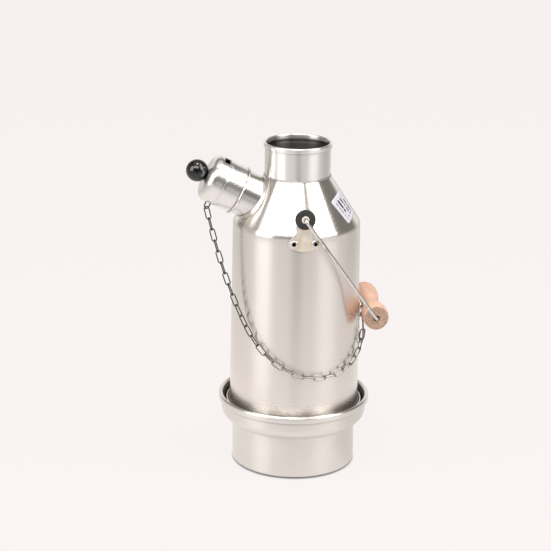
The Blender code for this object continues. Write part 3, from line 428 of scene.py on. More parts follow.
pour_hole = spun("pour_hole_cutter", np.array([(0.0, -28.0), (16.0, -28.0), (16.0, 10.0), (0.0, 10.0)]),
                 [jacket_metal], SPOUT, 64, False)
bore(jacket, pour_hole)
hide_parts("outer_jacket")
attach(jacket, "kettle")


# Chimney: one long aluminium cone inside the jacket, flanged at the foot, drawn up into the straight neck
# whose edge is rolled outwards. A welded bead joins the neck to the cone.
flue_outline = np.concatenate([
    [(55.2, 52.0), (55.2, 53.0), (51.0, 53.0)], line((50.0, 54.5), (27.75, 249.0), 16),
    line((27.75, 249.0), (27.75, 279.8), 8), [(27.75, 279.8), (27.78, 281.6), (27.95, 281.6)],
    [(28.0, 280.7)], arc(28.4, 280.7, 0.4, -150.0, 0.0, 6), arc(27.775, 283.575, 1.025, 0.0, 180.0, 14),
    line((26.75, 282.0), (26.75, 279.4), 3), [(26.8, 279.1), (27.2, 279.0), (27.2, 278.2), (26.95, 277.8)],
    line((26.95, 276.0), (26.95, 249.0), 8), line((26.95, 248.8), (49.0, 54.5), 16), [(50.0, 52.0)]])
flue_metal = spun_metal("spun_aluminium_satin_chimney", "#f3f1ed", 0.35)
flue_inside = spun_metal("chimney_inside_upper_aluminium", "#8d8a89", 0.45, UPRIGHT, 0.2)
flue_inside_deep = spun_metal("chimney_inside_deep_aluminium", "#62605f", 0.5, UPRIGHT, 0.3)
# Inside, just under the rolled edge, the chimney turns darker in two steps and stays darkest all the way
# down.
flue_rows = np.zeros(len(flue_outline), int)
lip_top = np.argmax(flue_outline[:, 1])
flue_rows[lip_top + 9:-1] = 1
flue_rows[lip_top + 10:-1] = 2
flue = spun("chimney_spun", flue_outline, [flue_metal, flue_inside, flue_inside_deep], row_finish=flue_rows)
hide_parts("flue")
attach(flue, "kettle")


def mottled(name, scale, detail, first, second, rough, stretch=(1.0, 1.0, 1.0)):
    """A material and its shader, whose colour drifts from a first to a second by a noise.

    The noise's patches are about 1 / scale metres across, and finer along an axis that stretch multiplies.
    rough is one number, or a pair that the same noise blends.
    """
    made, tree, shader = blank(name)
    drawn = add_node(tree, "ShaderNodeMapping", None,
                     {"Vector": add_node(tree, "ShaderNodeTexCoord").outputs["Object"], "Scale": stretch})
    noise = add_node(tree, "ShaderNodeTexNoise", None,
                     {"Vector": drawn, "Scale": scale, "Detail": detail}).outputs[0]
    add_node(tree, "ShaderNodeMix", {"data_type": "RGBA"},
             {0: noise, 6: linear(first), 7: linear(second)}, to=shader.inputs["Base Color"], output=2)
    if isinstance(rough, tuple):
        add_node(tree, "ShaderNodeMapRange", None,
                 {"Value": noise, "To Min": rough[0], "To Max": rough[1]}, to=shader.inputs["Roughness"])
    else:
        shader.inputs["Roughness"].default_value = rough
    return made, shader


# The bead is dressed smooth, mottled darker grey than the cone, with a fine ripple left in it.
weld_outline = np.concatenate([[(27.76, 256.9), (27.76, 255.6), (28.3, 255.5)],
                               arc(27.95, 256.1, 0.62, -35.0, 88.0, 8)])
weld, shader = mottled("dressed_aluminium_weld", 60.0, 2.0, "#8f8984", "#d6d1cc", 0.4)
shader.inputs["Metallic"].default_value = 1.0
tree = weld.node_tree
spot = add_node(tree, "ShaderNodeTexCoord").outputs["Object"]
ripple = add_node(tree, "ShaderNodeTexNoise", None, {"Vector": spot, "Scale": 420.0, "Detail": 4.0})
add_node(tree, "ShaderNodeMapRange", None,
         {"Value": ripple, "To Min": 0.25, "To Max": 0.55}, to=shader.inputs["Roughness"])
add_node(tree, "ShaderNodeBump", None,
         {"Height": ripple, "Strength": 0.5, "Distance": 0.15 * MM}, to=shader.inputs["Normal"])
bead = spun("neck_weld", weld_outline, [weld])
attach(bead, "kettle")


# Spout: a short aluminium collar on the cone, tilted up by 27 degrees. Its foot is cut to the cone's shape.
def jacket_r(height):
    """Outer radius of the jacket at a height, read along its outline."""
    return np.interp(height, body[:, 1], body[:, 0])


COLLAR_R, COLLAR_BORE_R, COLLAR_TOP, COLLAR_ROWS = 19.4, 18.4, 11.5, 9
FOOT_SINK = 0.1
HALVINGS = 30
turn = math.pi / 2 + np.arange(COLUMNS) * math.tau / COLUMNS


def collar_foot(radius):
    """How far down the spout's axis a tube of that radius sinks into the jacket, for each column.

    Found by halving between a point inside the jacket and one outside it.
    """
    low, high = np.full(COLUMNS, -30.0), np.full(COLUMNS, 12.0)
    for _ in range(HALVINGS):
        mid = (low + high) / 2
        spot = placed(np.stack([radius * np.cos(turn), radius * np.sin(turn), mid], 1), SPOUT)
        inside = np.hypot(spot[:, 0], spot[:, 1]) < jacket_r(spot[:, 2]) - FOOT_SINK
        low, high = np.where(inside, mid, low), np.where(inside, high, mid)
    return low


steps = np.linspace(0.0, 1.0, COLLAR_ROWS)[:, None]
rise_out = collar_foot(COLLAR_R) * (1.0 - steps) + COLLAR_TOP * steps
rise_in = collar_foot(COLLAR_BORE_R) * steps + COLLAR_TOP * (1.0 - steps)
rim = arc((COLLAR_R + COLLAR_BORE_R) / 2, COLLAR_TOP, (COLLAR_R - COLLAR_BORE_R) / 2, 0.0, 180.0, 8)[1:-1]
radii = np.concatenate([np.full(COLLAR_ROWS, COLLAR_R), rim[:, 0], np.full(COLLAR_ROWS, COLLAR_BORE_R)])
radii = radii[:, None]
rises = np.concatenate([rise_out, np.repeat(rim[:, 1:], COLUMNS, 1), rise_in])
grid = np.stack([radii * np.cos(turn), radii * np.sin(turn), rises], 2)
spout_metal = spun_metal("spun_aluminium_satin_spout", "#ebe8e4", 0.22, SPOUT)
collar = surface("spout_collar", placed(grid, SPOUT), [spout_metal], True)
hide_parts("spout")
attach(collar, "kettle")


# Whistle cap: spun aluminium with a turned lip, a rolled groove that holds the whistle's disc and a small
# punched window. It pushes over the spout.
cap_outline = np.concatenate([
    [(19.7, 0.0), (20.6, 0.0)], arc(20.7, 0.9, 0.9, -80.0, 80.0, 12),
    [(20.6, 1.9), (20.25, 2.0), (20.25, 2.5)],
    line((20.5, 2.7), (20.5, 16.7), 6), arc(21.3, 17.3, 0.97, 218.0, 142.0, 7),
    line((20.5, 18.0), (20.5, 25.0), 4), arc(14.0, 25.0, 6.5, 0.0, 90.0, 18),
    line((13.0, 31.5), (2.3, 31.5), 4), [(2.3, 31.5), (2.3, 30.7)], line((3.0, 30.7), (14.0, 30.7), 3),
    arc(14.0, 25.0, 5.7, 90.0, 0.0, 10), [(19.7, 18.0), (19.3, 17.3), (19.7, 16.6)]])
cap_metal = spun_metal("spun_aluminium_satin_cap", "#f2efeb", 0.26, SPOUT)
cap = spun("whistle_cap_spun", cap_outline, [cap_metal], SPOUT)
WINDOW_TURN = math.radians(-15.0)
outward = SPOUT[:, 0] * math.cos(WINDOW_TURN) + SPOUT[:, 1] * math.sin(WINDOW_TURN)
sideways = np.cross(SPOUT[:, 2], outward)
window_box = np.array([(a, b, c) for a in (12.0, 26.0) for b in (-4.0, 4.0) for c in (18.4, 24.0)])
corners = window_box @ np.stack([outward, sideways, SPOUT[:, 2]]) + SPOUT[:, 3]
window_mesh = bpy.data.meshes.new("window_cutter")
window_mesh.from_pydata((corners * MM).tolist(), [],
                        [(0, 1, 3, 2), (4, 6, 7, 5), (0, 4, 5, 1), (2, 3, 7, 6), (0, 2, 6, 4), (1, 5, 7, 3)])
window_mesh.materials.append(cap_metal)
bore(cap, in_scene("window_cutter", window_mesh))
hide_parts("whistle_cap")
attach(cap, "cap")
# The disc behind the window is rolled sheet with short streaks, punched and left as it was.
punched, shader = mottled("punched_aluminium_whistle_disc", 1.0, 3.0, "#bfbbb6", "#e0ddd8", (0.25, 0.42),
                          (60.0, 900.0, 60.0))
shader.inputs["Metallic"].default_value = 1.0
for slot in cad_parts["whistle_disc"].material_slots:
    slot.link = "OBJECT"
    slot.material = punched


# Knob: a ball of black phenolic, pressed and polished, screwed to the cap from inside.
# Polish leaves it near black, with a clear reflection and hardly any haze.
KNOB_R, KNOB_SEAT_R, KNOB_SEAT_Z, KNOB_BORE_R, KNOB_BORE_TOP = 9.4, 4.4, 31.8, 2.3, 40.8
phenolic, shader = mottled("polished_black_phenolic", 260.0, 3.0, "#040405", "#09080a", (0.02, 0.05))
shader.inputs["IOR"].default_value = 1.65
ball_middle = KNOB_SEAT_Z + math.sqrt(KNOB_R ** 2 - KNOB_SEAT_R ** 2)
seat = math.degrees(math.atan2(KNOB_SEAT_Z - ball_middle, KNOB_SEAT_R))
knob_outline = np.concatenate([[(KNOB_BORE_R, KNOB_SEAT_Z)], arc(0.0, ball_middle, KNOB_R, seat, 90.0, 40),
                               [(0.0, KNOB_BORE_TOP), (KNOB_BORE_R, KNOB_BORE_TOP)]])
knob = spun("ball_knob", knob_outline, [phenolic], SPOUT, 96)
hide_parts("knob")
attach(knob, "cap")


# Bail ears: two steel plates, blanked, bent to the wall and zinc plated, each held by two blind rivets.
def plated_steel(name, code, roughness, tarnish="#8d8780"):
    """Bright zinc plate on steel: smooth, with a faint cloudiness and darker pits, as dipping leaves it."""
    made, tree, shader = blank(name)
    shader.inputs["Metallic"].default_value = 1.0
    spot = add_node(tree, "ShaderNodeTexCoord").outputs["Object"]
    cloud = add_node(tree, "ShaderNodeTexNoise", None, {"Vector": spot, "Scale": 190.0, "Detail": 4.0})
    dulled = add_node(tree, "ShaderNodeMapRange", None,
                      {"Value": cloud, "From Min": 0.55, "From Max": 0.75, "To Max": 0.6})
    add_node(tree, "ShaderNodeMix", {"data_type": "RGBA"},
             {0: dulled, 6: linear(code), 7: linear(tarnish)},
             to=shader.inputs["Base Color"], output=2)
    add_node(tree, "ShaderNodeMapRange", None,
             {"Value": cloud, "From Min": 0.3, "From Max": 0.7,
              "To Min": roughness * 0.8, "To Max": roughness * 1.3}, to=shader.inputs["Roughness"])
    add_node(tree, "ShaderNodeBump", None,
             {"Height": cloud, "Strength": 0.15, "Distance": 0.05 * MM},
             to=shader.inputs["Normal"])
    return made


def thickened(sheet, thickness, offset, eased):
    """A sheet given its thickness, and its edges eased, in millimetres."""
    wall = sheet.modifiers.new("wall", "SOLIDIFY")
    wall.thickness = thickness * MM
    wall.offset = offset
    edge = sheet.modifiers.new("edge", "BEVEL")
    edge.width = eased * MM
    edge.segments = 2
    edge.limit_method = "ANGLE"
    edge.angle_limit = math.radians(50.0)


PIVOT_Z = 232.5
EAR_R, EAR_SHEET = 55.9, 1.5
RIVET_X, RIVET_DROP = 8.5, 21.4
ear_edge = np.concatenate([[(RIVET_X, -26.5)], arc(RIVET_X, -RIVET_DROP, 5.1, -90.0, 40.0, 22),
                           [(7.4, -12.6)], arc(0.0, 0.0, 7.6, -25.0, 90.0, 26)])
ear_edge = ear_edge[np.argsort(ear_edge[:, 1], kind="stable")]
ear_heights = np.unique(np.concatenate([np.linspace(-28.0, -26.5, 10), np.linspace(-26.5, 7.6, 60),
                                        [7.4, 7.55]]))
ear_widths = np.interp(ear_heights, ear_edge[:, 1], ear_edge[:, 0])
below = ear_heights < -26.5
ear_widths[below] = RIVET_X * np.sqrt((ear_heights[below] + 28.0) / 1.5)
ear_widths[-1] = 0.0
ear_steel = plated_steel("zinc_plated_ear_steel", "#e6e0da", 0.46)
tree = ear_steel.node_tree
spot = add_node(tree, "ShaderNodeTexCoord").outputs["Object"]
upright = add_node(tree, "ShaderNodeMapping", None, {"Vector": spot, "Scale": (1.0, 1.0, 0.12)})
drift = add_node(tree, "ShaderNodeTexNoise", None, {"Vector": upright, "Scale": 110.0, "Detail": 1.0})
tints = add_node(tree, "ShaderNodeValToRGB", None, {0: drift})
for place, code in ((0.34, "#cfc8dc"), (0.43, "#fdf6f2"), (0.50, "#fff3da"), (0.57, "#fdfaf6"),
                    (0.66, "#cdc9cf")):
    stop = tints.color_ramp.elements.new(place)
    stop.color = linear(code)
tints.color_ramp.elements.remove(tints.color_ramp.elements[0])
tints.color_ramp.elements.remove(tints.color_ramp.elements[-1])
tree.links.new(tints.outputs[0], tree.nodes["Principled BSDF"].inputs["Base Color"])
for side, name in ((-1.0, "front"), (1.0, "rear")):
    across = ear_widths[:, None] * np.linspace(-1.0, 1.0, 25)[None, :]
    grid = np.stack([across, side * np.sqrt(EAR_R ** 2 - across ** 2),
                     np.repeat(PIVOT_Z + ear_heights[:, None], 25, 1)], 2)
    ear = surface("bail_ear_plate_" + name, grid, [ear_steel], False, False)
    thickened(ear, EAR_SHEET, -1.0, 0.3)
    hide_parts("bail_ear_" + name)
    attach(ear, "kettle")


# Blind rivets: steel heads pulled up on a mandrel, which breaks off and leaves a hole in the head. The
# hole is painted near black with hardly any reflection, as painted shade. The same kind, smaller in its
# grip, holds the anchor's strap behind the handle.
painted_eye_shade, shader = mottled("rivet_hole_painted_black", 1500.0, 2.0, "#030303", "#0c0b0b", 0.8)
shader.inputs["Specular IOR Level"].default_value = 0.02
rivet_steel = plated_steel("bright_rivet_steel", "#e4e0db", 0.12)
REST = math.radians(34.69)
BAIL_L = 115.1
turn = math.asin(RIVET_X / 54.1)
lug_z = PIVOT_Z - BAIL_L * math.cos(REST)
rivets = [("ear_rivet_%s_%s" % (end, hand), x * math.sin(turn), y * math.cos(turn), PIVOT_Z - RIVET_DROP, 1.8)
          for end, y in (("front", -1.0), ("rear", 1.0)) for hand, x in (("left", -1.0), ("right", 1.0))]
rivets.append(("anchor_rivet", 1.0, 0.0, lug_z, 1.5))
for name, x, y, height, gripped in rivets:
    head = gripped + 0.3
    dome = np.stack([3.25 - 1.6 * np.linspace(0.0, 1.0, 12) ** 1.6,
                     head + 0.35 + 0.95 * np.sin(np.linspace(0.0, 1.45, 12))], 1)
    outline = np.concatenate([
        [(0.0, head - 0.1), (1.4, head - 0.1), (1.55, head + 0.05), (1.6, head + 1.1)], dome[::-1],
        [(3.2, head), (1.6, head), (1.6, -1.3), (2.5, -2.3), (1.25, -3.3), (0.0, -3.3)]])
    inner = [1, 1, 1] + [0] * (len(outline) - 3)
    wall = jacket_r(height)
    rivet = spun(name + "_head", outline, [rivet_steel, painted_eye_shade],
                 facing((x * wall, y * wall, height), (x, y, 0.0), (0.0, 0.0, 1.0)), 48, False, inner)
    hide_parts(name)
    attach(rivet, "kettle")


# Grommets and bushes: a black rubber grommet snapped into each ear, and a pale nylon bush in it that the
# bail's wire turns in.
# Bloom greys the rubber in patches of about 3 mm, and the nylon is milky and lets a little light in.
rubber, shader = mottled("moulded_black_rubber", 320.0, 4.0, "#1d1d1c", "#3a3a38", (0.3, 0.5))
nylon, shader = mottled("moulded_cream_nylon", 500.0, 3.0, "#e9e6da", "#dcd6c2", 0.34)
shader.inputs["Subsurface Weight"].default_value = 0.15
shader.inputs["Subsurface Radius"].default_value = (0.0012, 0.001, 0.0007)
grommet_outline = np.concatenate([
    [(3.4, 52.19), (5.8, 52.19), (5.8, 53.79), (4.7, 53.79), (4.7, 56.2)],
    arc(8.1, 56.7, 0.5, -90.0, 0.0, 5), arc(7.8, 57.3, 0.8, 0.0, 80.0, 7),
    [(6.6, 58.14), (6.2, 57.98), (5.0, 57.98), (4.6, 58.14)],
    arc(3.9, 57.7, 0.5, 80.0, 180.0, 6)])
bush_outline = np.concatenate([[(1.8, 52.19), (3.1, 52.19)], arc(2.6, 58.2, 0.5, 0.0, 90.0, 6),
                               arc(2.2, 58.3, 0.4, 90.0, 180.0, 5)])
for side, name in ((-1.0, "front"), (1.0, "rear")):
    place = facing((0.0, 0.0, PIVOT_Z), (0.0, side, 0.0), (1.0, 0.0, 0.0))
    grommet = spun("grommet_moulded_" + name, grommet_outline, [rubber], place, 96)
    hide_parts("grommet_" + name)
    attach(grommet, "kettle")
    bush = spun("bush_moulded_" + name, bush_outline, [nylon], place, 64)
    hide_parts("bush_" + name)
    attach(bush, "kettle")


# Bail: one length of 3 mm steel wire, bent cold, plated and peened over behind the ears.
def wire(name, path, flat, radius, finishes, closed, sides=20):
    """A round wire whose path lies in one plane.

    At each point of the path stands a circle spanned by the plane's normal and the sideways direction,
    which is the normal crossed with the path's direction. An open wire's ends are rounded.
    """
    radius = np.broadcast_to(np.asarray(radius, float), (len(path),)).copy()
    if not closed:
        lift = np.radians(np.array([90.0, 70.0, 45.0, 22.0]))
        head = (path[0] - path[1]) / np.linalg.norm(path[0] - path[1])
        tail = (path[-1] - path[-2]) / np.linalg.norm(path[-1] - path[-2])
        before = path[0] + head * (np.sin(lift) * radius[0] * 0.5)[:, None]
        after = path[-1] + tail * (np.sin(lift[::-1]) * radius[-1] * 0.5)[:, None]
        radius = np.concatenate([np.cos(lift) * radius[0], radius, np.cos(lift[::-1]) * radius[-1]])
        radius[0] = radius[-1] = 0.0
        path = np.concatenate([before, path, after])
        ahead = np.gradient(path, axis=0)
    else:
        ahead = np.roll(path, -1, 0) - np.roll(path, 1, 0)
    ahead /= np.linalg.norm(ahead, axis=1, keepdims=True)
    beside = np.cross(np.array(flat, float), ahead)
    turn = np.arange(sides) * math.tau / sides
    ring = beside[:, None] * np.cos(turn)[:, None] + np.array(flat, float) * np.sin(turn)[:, None]
    grid = path[:, None] + radius[:, None, None] * ring
    return surface(name, grid, finishes, closed)


def bent(corners, radii, count):
    """A path in a plane through corners, with an arc of the given radius at each inner corner.

    At a corner with half angle h the arc starts radius / tan h before it and its centre lies radius / sin h
    away along the bisector.
    """
    parts = [np.array([corners[0]])]
    for before, here, after, radius in zip(corners, corners[1:], corners[2:], radii):
        here = np.array(here, float)
        back = (np.array(before) - here) / np.linalg.norm(np.array(before) - here)
        ahead = (np.array(after) - here) / np.linalg.norm(np.array(after) - here)
        half = math.acos(float(back @ ahead)) / 2
        inward = (back + ahead) / np.linalg.norm(back + ahead)
        centre = here + inward * radius / math.sin(half)
        first = here + back * radius / math.tan(half) - centre
        last = here + ahead * radius / math.tan(half) - centre
        sweep = math.pi - 2 * half
        share = np.linspace(0.0, 1.0, count)[:, None]
        parts.append(centre + (first * np.sin((1.0 - share) * sweep) + last * np.sin(share * sweep))
                     / math.sin(sweep))
    parts.append(np.array([corners[-1]]))
    return np.concatenate(parts)


BAIL_WIRE_R, PEENED_R = 1.5, 2.3
half_bail = [(-51.81, 0.0), (-61.75, 0.0), (-39.0, -BAIL_L)]
corners = half_bail + [(-y, z) for y, z in reversed(half_bail)]
flat_path = bent(corners, [2.2, 3.6, 3.6, 2.2], 14)
flat_path = np.concatenate([[(-50.8, 0.0), (-51.8, 0.0)], flat_path[1:-1], [(51.8, 0.0), (50.8, 0.0)]])
wire_path = np.stack([-flat_path[:, 1] * math.sin(REST), flat_path[:, 0],
                      PIVOT_Z + flat_path[:, 1] * math.cos(REST)], 1)
wire_r = np.full(len(wire_path), BAIL_WIRE_R)
wire_r[[0, 1, -2, -1]] = PEENED_R
bail_steel = plated_steel("zinc_plated_bail_wire", "#e2dfdb", 0.08)
bail = wire("bail_wire_bent", wire_path, (math.cos(REST), 0.0, math.sin(REST)), wire_r, [bail_steel], False)
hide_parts("bail_wire")
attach(bail, "bail")


# Grip: a spool of beech, turned, drilled and left raw. The side shows long pale grain with short brown
# flecks, and the sawn ends are darker, speckled with open pores.
beech, tree, shader = blank("raw_turned_beech")
spot = add_node(tree, "ShaderNodeTexCoord").outputs["Object"]
stretched = add_node(tree, "ShaderNodeMapping", None, {"Vector": spot, "Scale": (1.0, 0.05, 1.0)})
grain = add_node(tree, "ShaderNodeTexNoise", None,
                 {"Vector": stretched, "Scale": 520.0, "Detail": 4.0, "Roughness": 0.6})
flecked = add_node(tree, "ShaderNodeMapping", None, {"Vector": spot, "Scale": (1.0, 0.3, 1.0)})
flecks = add_node(tree, "ShaderNodeTexNoise", None, {"Vector": flecked, "Scale": 1300.0, "Detail": 2.0})
soft = add_node(tree, "ShaderNodeMapRange", None, {"Value": grain, "From Min": 0.3, "From Max": 0.7})
tint = add_node(tree, "ShaderNodeMix", {"data_type": "RGBA"},
                {0: soft, 6: linear("#dcb8a2"), 7: linear("#cfa088")})
dark = add_node(tree, "ShaderNodeMapRange", None,
                {"Value": flecks, "From Min": 0.6, "From Max": 0.72, "To Max": 0.45})
add_node(tree, "ShaderNodeMix", {"data_type": "RGBA"},
         {0: dark, 6: tint.outputs[2], 7: linear("#a9745a")},
         to=shader.inputs["Base Color"], output=2)
shader.inputs["Roughness"].default_value = 0.62
add_node(tree, "ShaderNodeBump", None,
         {"Height": grain, "Strength": 0.3, "Distance": 0.1 * MM}, to=shader.inputs["Normal"])
end_grain, tree, shader = blank("sawn_beech_end_grain")
spot = add_node(tree, "ShaderNodeTexCoord").outputs["Object"]
pores = add_node(tree, "ShaderNodeTexNoise", None, {"Vector": spot, "Scale": 1500.0, "Detail": 2.0})
speck = add_node(tree, "ShaderNodeMapRange", None, {"Value": pores, "From Min": 0.36, "From Max": 0.64})
add_node(tree, "ShaderNodeMix", {"data_type": "RGBA"},
         {0: speck, 6: linear("#846b5a"), 7: linear("#bb9f8b")},
         to=shader.inputs["Base Color"], output=2)
shader.inputs["Roughness"].default_value = 0.8
add_node(tree, "ShaderNodeBump", None,
         {"Height": pores, "Strength": 0.5, "Distance": 0.2 * MM}, to=shader.inputs["Normal"])
# The bore is painted near black brown, as painted shade inside the hole.
painted_bore_shade, shader = mottled("beech_bore_painted_dark", 800.0, 2.0, "#1c110d", "#4a3226", 0.9)
WAIST_R, SWELL_R, SWELL_Y = 7.0, 11.0, 25.0
share = np.linspace(0.0, 1.0, 24)
swell = np.stack([WAIST_R + (SWELL_R - WAIST_R) * (1.0 - np.cos(math.pi * share)) / 2, SWELL_Y * share], 1)
fall = np.linspace(0.0, 1.0, 9)[1:]
tip = np.stack([SWELL_R - 0.7 * fall ** 2, SWELL_Y + 9.2 * fall], 1)
half_side = np.concatenate([swell, tip, arc(9.5, 34.2, 0.8, 0.0, 90.0, 7),
                            [(9.0, 35.0), (5.0, 35.0), (2.6, 35.0), (2.1, 34.0), (2.1, 20.0)]])
mirrored = half_side[1:][::-1] * np.array([1.0, -1.0])
grip_outline = np.concatenate([mirrored, half_side])
midway = (grip_outline + np.roll(grip_outline, -1, 0)) / 2
bore_rows = midway[:, 0] < 2.5
end_rows = (np.abs(midway[:, 1]) > 34.6) & ~bore_rows
grip_place = facing((BAIL_L * math.sin(REST), 0.0, lug_z), (0.0, 1.0, 0.0),
                    (math.cos(REST), 0.0, math.sin(REST)))
grip = spun("beech_grip_turned", grip_outline, [beech, end_grain, painted_bore_shade], grip_place, 96, True,
            end_rows + 2 * bore_rows)
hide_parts("grip")
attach(grip, "spool")


# Anchor: a steel strap riveted to the wall, its lower end curled round a split ring of thin wire.
LUG_X, LUG_SHEET, CURL_R = 55.81, 1.1, 2.1
RING_R, RING_WIRE_R = 13.2, 0.8
RING_X = LUG_X + CURL_R
RING_Z = lug_z - 7.0
lug_line = np.concatenate([line((LUG_X, lug_z + 5.2), (LUG_X, RING_Z), 8),
                           arc(RING_X, RING_Z, CURL_R, 180.0, 440.0, 26)])
across = np.linspace(-3.1, 3.1, 7)
grid = np.stack([np.repeat(lug_line[:, :1], 7, 1), np.repeat(across[None, :], len(lug_line), 0),
                 np.repeat(lug_line[:, 1:], 7, 1)], 2)
lug = surface("anchor_lug_strap", grid, [ear_steel], False, False)
thickened(lug, LUG_SHEET, 0.0, 0.25)
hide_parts("anchor_lug")
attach(lug, "kettle")

ring_steel = plated_steel("zinc_plated_ring_wire", "#a8a4a0", 0.12)
turn = np.arange(120) * math.tau / 120
ring_path = np.stack([np.full(120, RING_X), RING_R * np.cos(turn),
                      RING_Z - RING_R + RING_R * np.sin(turn)], 1)
ring = wire("anchor_ring_wire", ring_path, (1.0, 0.0, 0.0), RING_WIRE_R, [ring_steel], True)
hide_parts("anchor_ring")
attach(ring, "kettle")


# Chain: welded steel links of 1 mm wire, bright zinc plated, from an eye under the cap round the front.
# It hangs free beside the spout and lies on the wall from there on. Where it hangs free, higher up, it is
# painted darker, as a painted dark reflection.
# The eye is a bent staple.
chain_steel = plated_steel("zinc_plated_chain_wire", "#a09c98", 0.11, "#6b6763")
tree = chain_steel.node_tree
shader = tree.nodes["Principled BSDF"]
plate_tint = shader.inputs["Base Color"].links[0].from_socket
# Painted dark reflection: from 92 mm up the colour blends to dark grey, fully by 125 mm.
height = add_node(tree, "ShaderNodeSeparateXYZ", None,
                  {0: add_node(tree, "ShaderNodeTexCoord").outputs["Object"]})
free_link_mask = add_node(tree, "ShaderNodeMapRange", {"interpolation_type": "SMOOTHSTEP"},
                   {"Value": height.outputs["Z"], "From Min": 0.092, "From Max": 0.125})
painted_dark_reflection = add_node(tree, "ShaderNodeMix", {"data_type": "RGBA"},
                  {0: free_link_mask, 6: plate_tint, 7: linear("#55524f")})
# Painted contact shade: where links touch, within 1.1 mm, the colour turns near black.
link_contact_occlusion = add_node(tree, "ShaderNodeAmbientOcclusion", {"samples": 6}, {"Distance": 1.1 * MM})
painted_gap_shade = add_node(tree, "ShaderNodeMapRange", None,
                {"Value": link_contact_occlusion.outputs["AO"], "From Min": 0.45, "From Max": 0.85, "To Min": 0.85,
                 "To Max": 0.0})
add_node(tree, "ShaderNodeMix", {"data_type": "RGBA"},
         {0: painted_gap_shade, 6: painted_dark_reflection.outputs[2], 7: linear("#1f1c1a")},
         to=shader.inputs["Base Color"], output=2)
# A link's wire runs round two half circles. Its place is read from its solid: the solid's longest, next
# and shortest directions are the link's. The links that hang free blend from the wall to the cap's eye.
LINKS, FREE_LINKS = 27, 16
LINK_BEND_R, LINK_STRAIGHT, LINK_WIRE_R = 2.075, 3.4, 0.525
turn = np.radians(np.linspace(-90.0, 90.0, 17))
one_end = np.stack([LINK_STRAIGHT + LINK_BEND_R * np.cos(turn), LINK_BEND_R * np.sin(turn)], 1)
link_path = np.concatenate([one_end, -one_end])
for k in range(LINKS):
    node = "chain_link_%02d" % (k + 1)
    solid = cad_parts[node].data
    points = np.zeros(len(solid.vertices) * 3, np.float32)
    solid.vertices.foreach_get("co", points)
    points = points.reshape(-1, 3).astype(float) / MM
    spread = points - points.mean(0)
    ways = np.linalg.eigh(spread.T @ spread)[1]
    flat_way, wide_way, long_way = ways.T
    reach = points @ ways
    middle = ways @ ((reach.max(0) + reach.min(0)) / 2)
    path = middle + link_path[:, :1] * long_way + link_path[:, 1:] * wide_way
    link = wire(node + "_wire", path, flat_way, LINK_WIRE_R, [chain_steel], True, 12)
    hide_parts(node)
    if k < FREE_LINKS:
        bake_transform(link)
    else:
        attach(link, "kettle")

EYE_TURN = math.radians(50.0)
EYE_R, EYE_WIRE_R = 2.5, 0.6
EYE = facing(SPOUT[:, :3] @ np.array([-23.6, 0.0, 19.0]) + SPOUT[:, 3],
             SPOUT[:, 2] * math.cos(EYE_TURN) + SPOUT[:, 1] * math.sin(EYE_TURN), SPOUT[:, 0])
turn = np.radians(np.linspace(-90.0, 90.0, 21))
staple = np.stack([-EYE_R * np.cos(turn), np.zeros(21), EYE_R * np.sin(turn)], 1)
staple = np.concatenate([[(2.9, 0.0, -EYE_R), (1.4, 0.0, -EYE_R)], staple,
                         [(1.4, 0.0, EYE_R), (2.9, 0.0, EYE_R)]])
eye = wire("cap_eye_staple", placed(staple, EYE), EYE[:, 1], EYE_WIRE_R, [chain_steel], False, 12)
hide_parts("cap_chain_eye")
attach(eye, "cap")
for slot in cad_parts["knob_screw"].material_slots:
    slot.link = "OBJECT"
    slot.material = rivet_steel


# Label: a square of white paper with rounded corners, stuck to the right of the cone. It carries plain
# bars, no words.
# Each row of bars is 5 mm high, its inked part is ROW_INK of that, and a noise leaves gaps along it.
LABEL_HALF, LABEL_CORNER, LABEL_MARGIN, LABEL_SHEET, LABEL_LIFT = 12.1, 1.6, 8.6, 0.12, 0.22
ROWS_PER_MM, ROW_INK, GAP_LEVEL = 0.2, 0.44, 0.44
label_paper, tree, shader = blank("coated_white_label")
shader.inputs["Roughness"].default_value = 0.42
spread = add_node(tree, "ShaderNodeUVMap", {"uv_map": "turn"})
apart = add_node(tree, "ShaderNodeSeparateXYZ", None, {0: spread})
rows = add_node(tree, "ShaderNodeMath", {"operation": "MULTIPLY"}, {0: apart.outputs["Y"], 1: ROWS_PER_MM})
within = add_node(tree, "ShaderNodeMath", {"operation": "FRACT"}, {0: rows})
which = add_node(tree, "ShaderNodeMath", {"operation": "FLOOR"}, {0: rows})
inked = add_node(tree, "ShaderNodeMath", {"operation": "LESS_THAN"}, {0: within, 1: ROW_INK})
spaced = add_node(tree, "ShaderNodeCombineXYZ", None, {"X": apart.outputs["X"], "Y": which})
gaps = add_node(tree, "ShaderNodeTexNoise", {"noise_dimensions": "2D"},
                {"Vector": spaced, "Scale": 0.42, "Detail": 0.0})
dash = add_node(tree, "ShaderNodeMath", {"operation": "GREATER_THAN"}, {0: gaps, 1: GAP_LEVEL})
bars = add_node(tree, "ShaderNodeMath", {"operation": "MULTIPLY"}, {0: inked, 1: dash})
far = add_node(tree, "ShaderNodeVectorMath", {"operation": "ABSOLUTE"}, {0: spread})
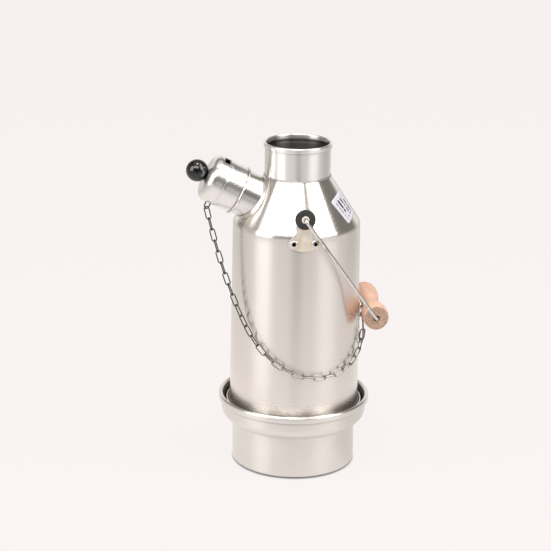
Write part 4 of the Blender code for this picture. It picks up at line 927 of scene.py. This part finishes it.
sides = add_node(tree, "ShaderNodeSeparateXYZ", None, {0: far})
widest = add_node(tree, "ShaderNodeMath", {"operation": "MAXIMUM"},
                  {0: sides.outputs["X"], 1: sides.outputs["Y"]})
margin = add_node(tree, "ShaderNodeMath", {"operation": "LESS_THAN"}, {0: widest, 1: LABEL_MARGIN})
printed = add_node(tree, "ShaderNodeMath", {"operation": "MULTIPLY"}, {0: bars, 1: margin})
add_node(tree, "ShaderNodeMix", {"data_type": "RGBA"},
         {0: printed, 6: linear("#c6c5cc"), 7: linear("#141418")},
         to=shader.inputs["Base Color"], output=2)
inset = LABEL_HALF - LABEL_CORNER
quarters = [np.concatenate([arc(inset, inset, LABEL_CORNER, 0.0, 90.0, 7),
                            line((inset, LABEL_HALF), (-inset, LABEL_HALF), 10)[1:]])]
for _ in range(3):
    quarters.append(quarters[-1] @ np.array([(0.0, 1.0), (-1.0, 0.0)]))
flat_label = np.linspace(0.0, 1.0, 9)[:, None, None] * np.concatenate(quarters)[None]
# The flat square is laid on the unrolled cone and rolled up with it: the distance from the apex stays, and
# the angle round the axis is the unrolled angle over the sine of the cone's lean.
SPIN = math.radians(-2.0)
slant = 75.36 + flat_label[:, :, 0] * math.cos(SPIN) - flat_label[:, :, 1] * math.sin(SPIN)
drift = -21.5 + flat_label[:, :, 0] * math.sin(SPIN) + flat_label[:, :, 1] * math.cos(SPIN)
lean = math.radians(CONE_LEAN)
from_apex = np.hypot(slant, drift)
round_turn = np.arctan2(drift, slant) / math.sin(lean)
apex_z = CONE_TOP_Z + CONE_TOP_R / math.tan(lean)
radius = from_apex * math.sin(lean) + LABEL_LIFT * math.cos(lean)
grid = np.stack([radius * np.cos(round_turn), radius * np.sin(round_turn),
                 apex_z - from_apex * math.cos(lean) + LABEL_LIFT * math.sin(lean)], 2)
label = surface("shoulder_label", grid, [label_paper], False, True, None, flat_label)
wall = label.modifiers.new("wall", "SOLIDIFY")
wall.thickness = LABEL_SHEET * MM
wall.offset = -1.0
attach(label, "kettle")
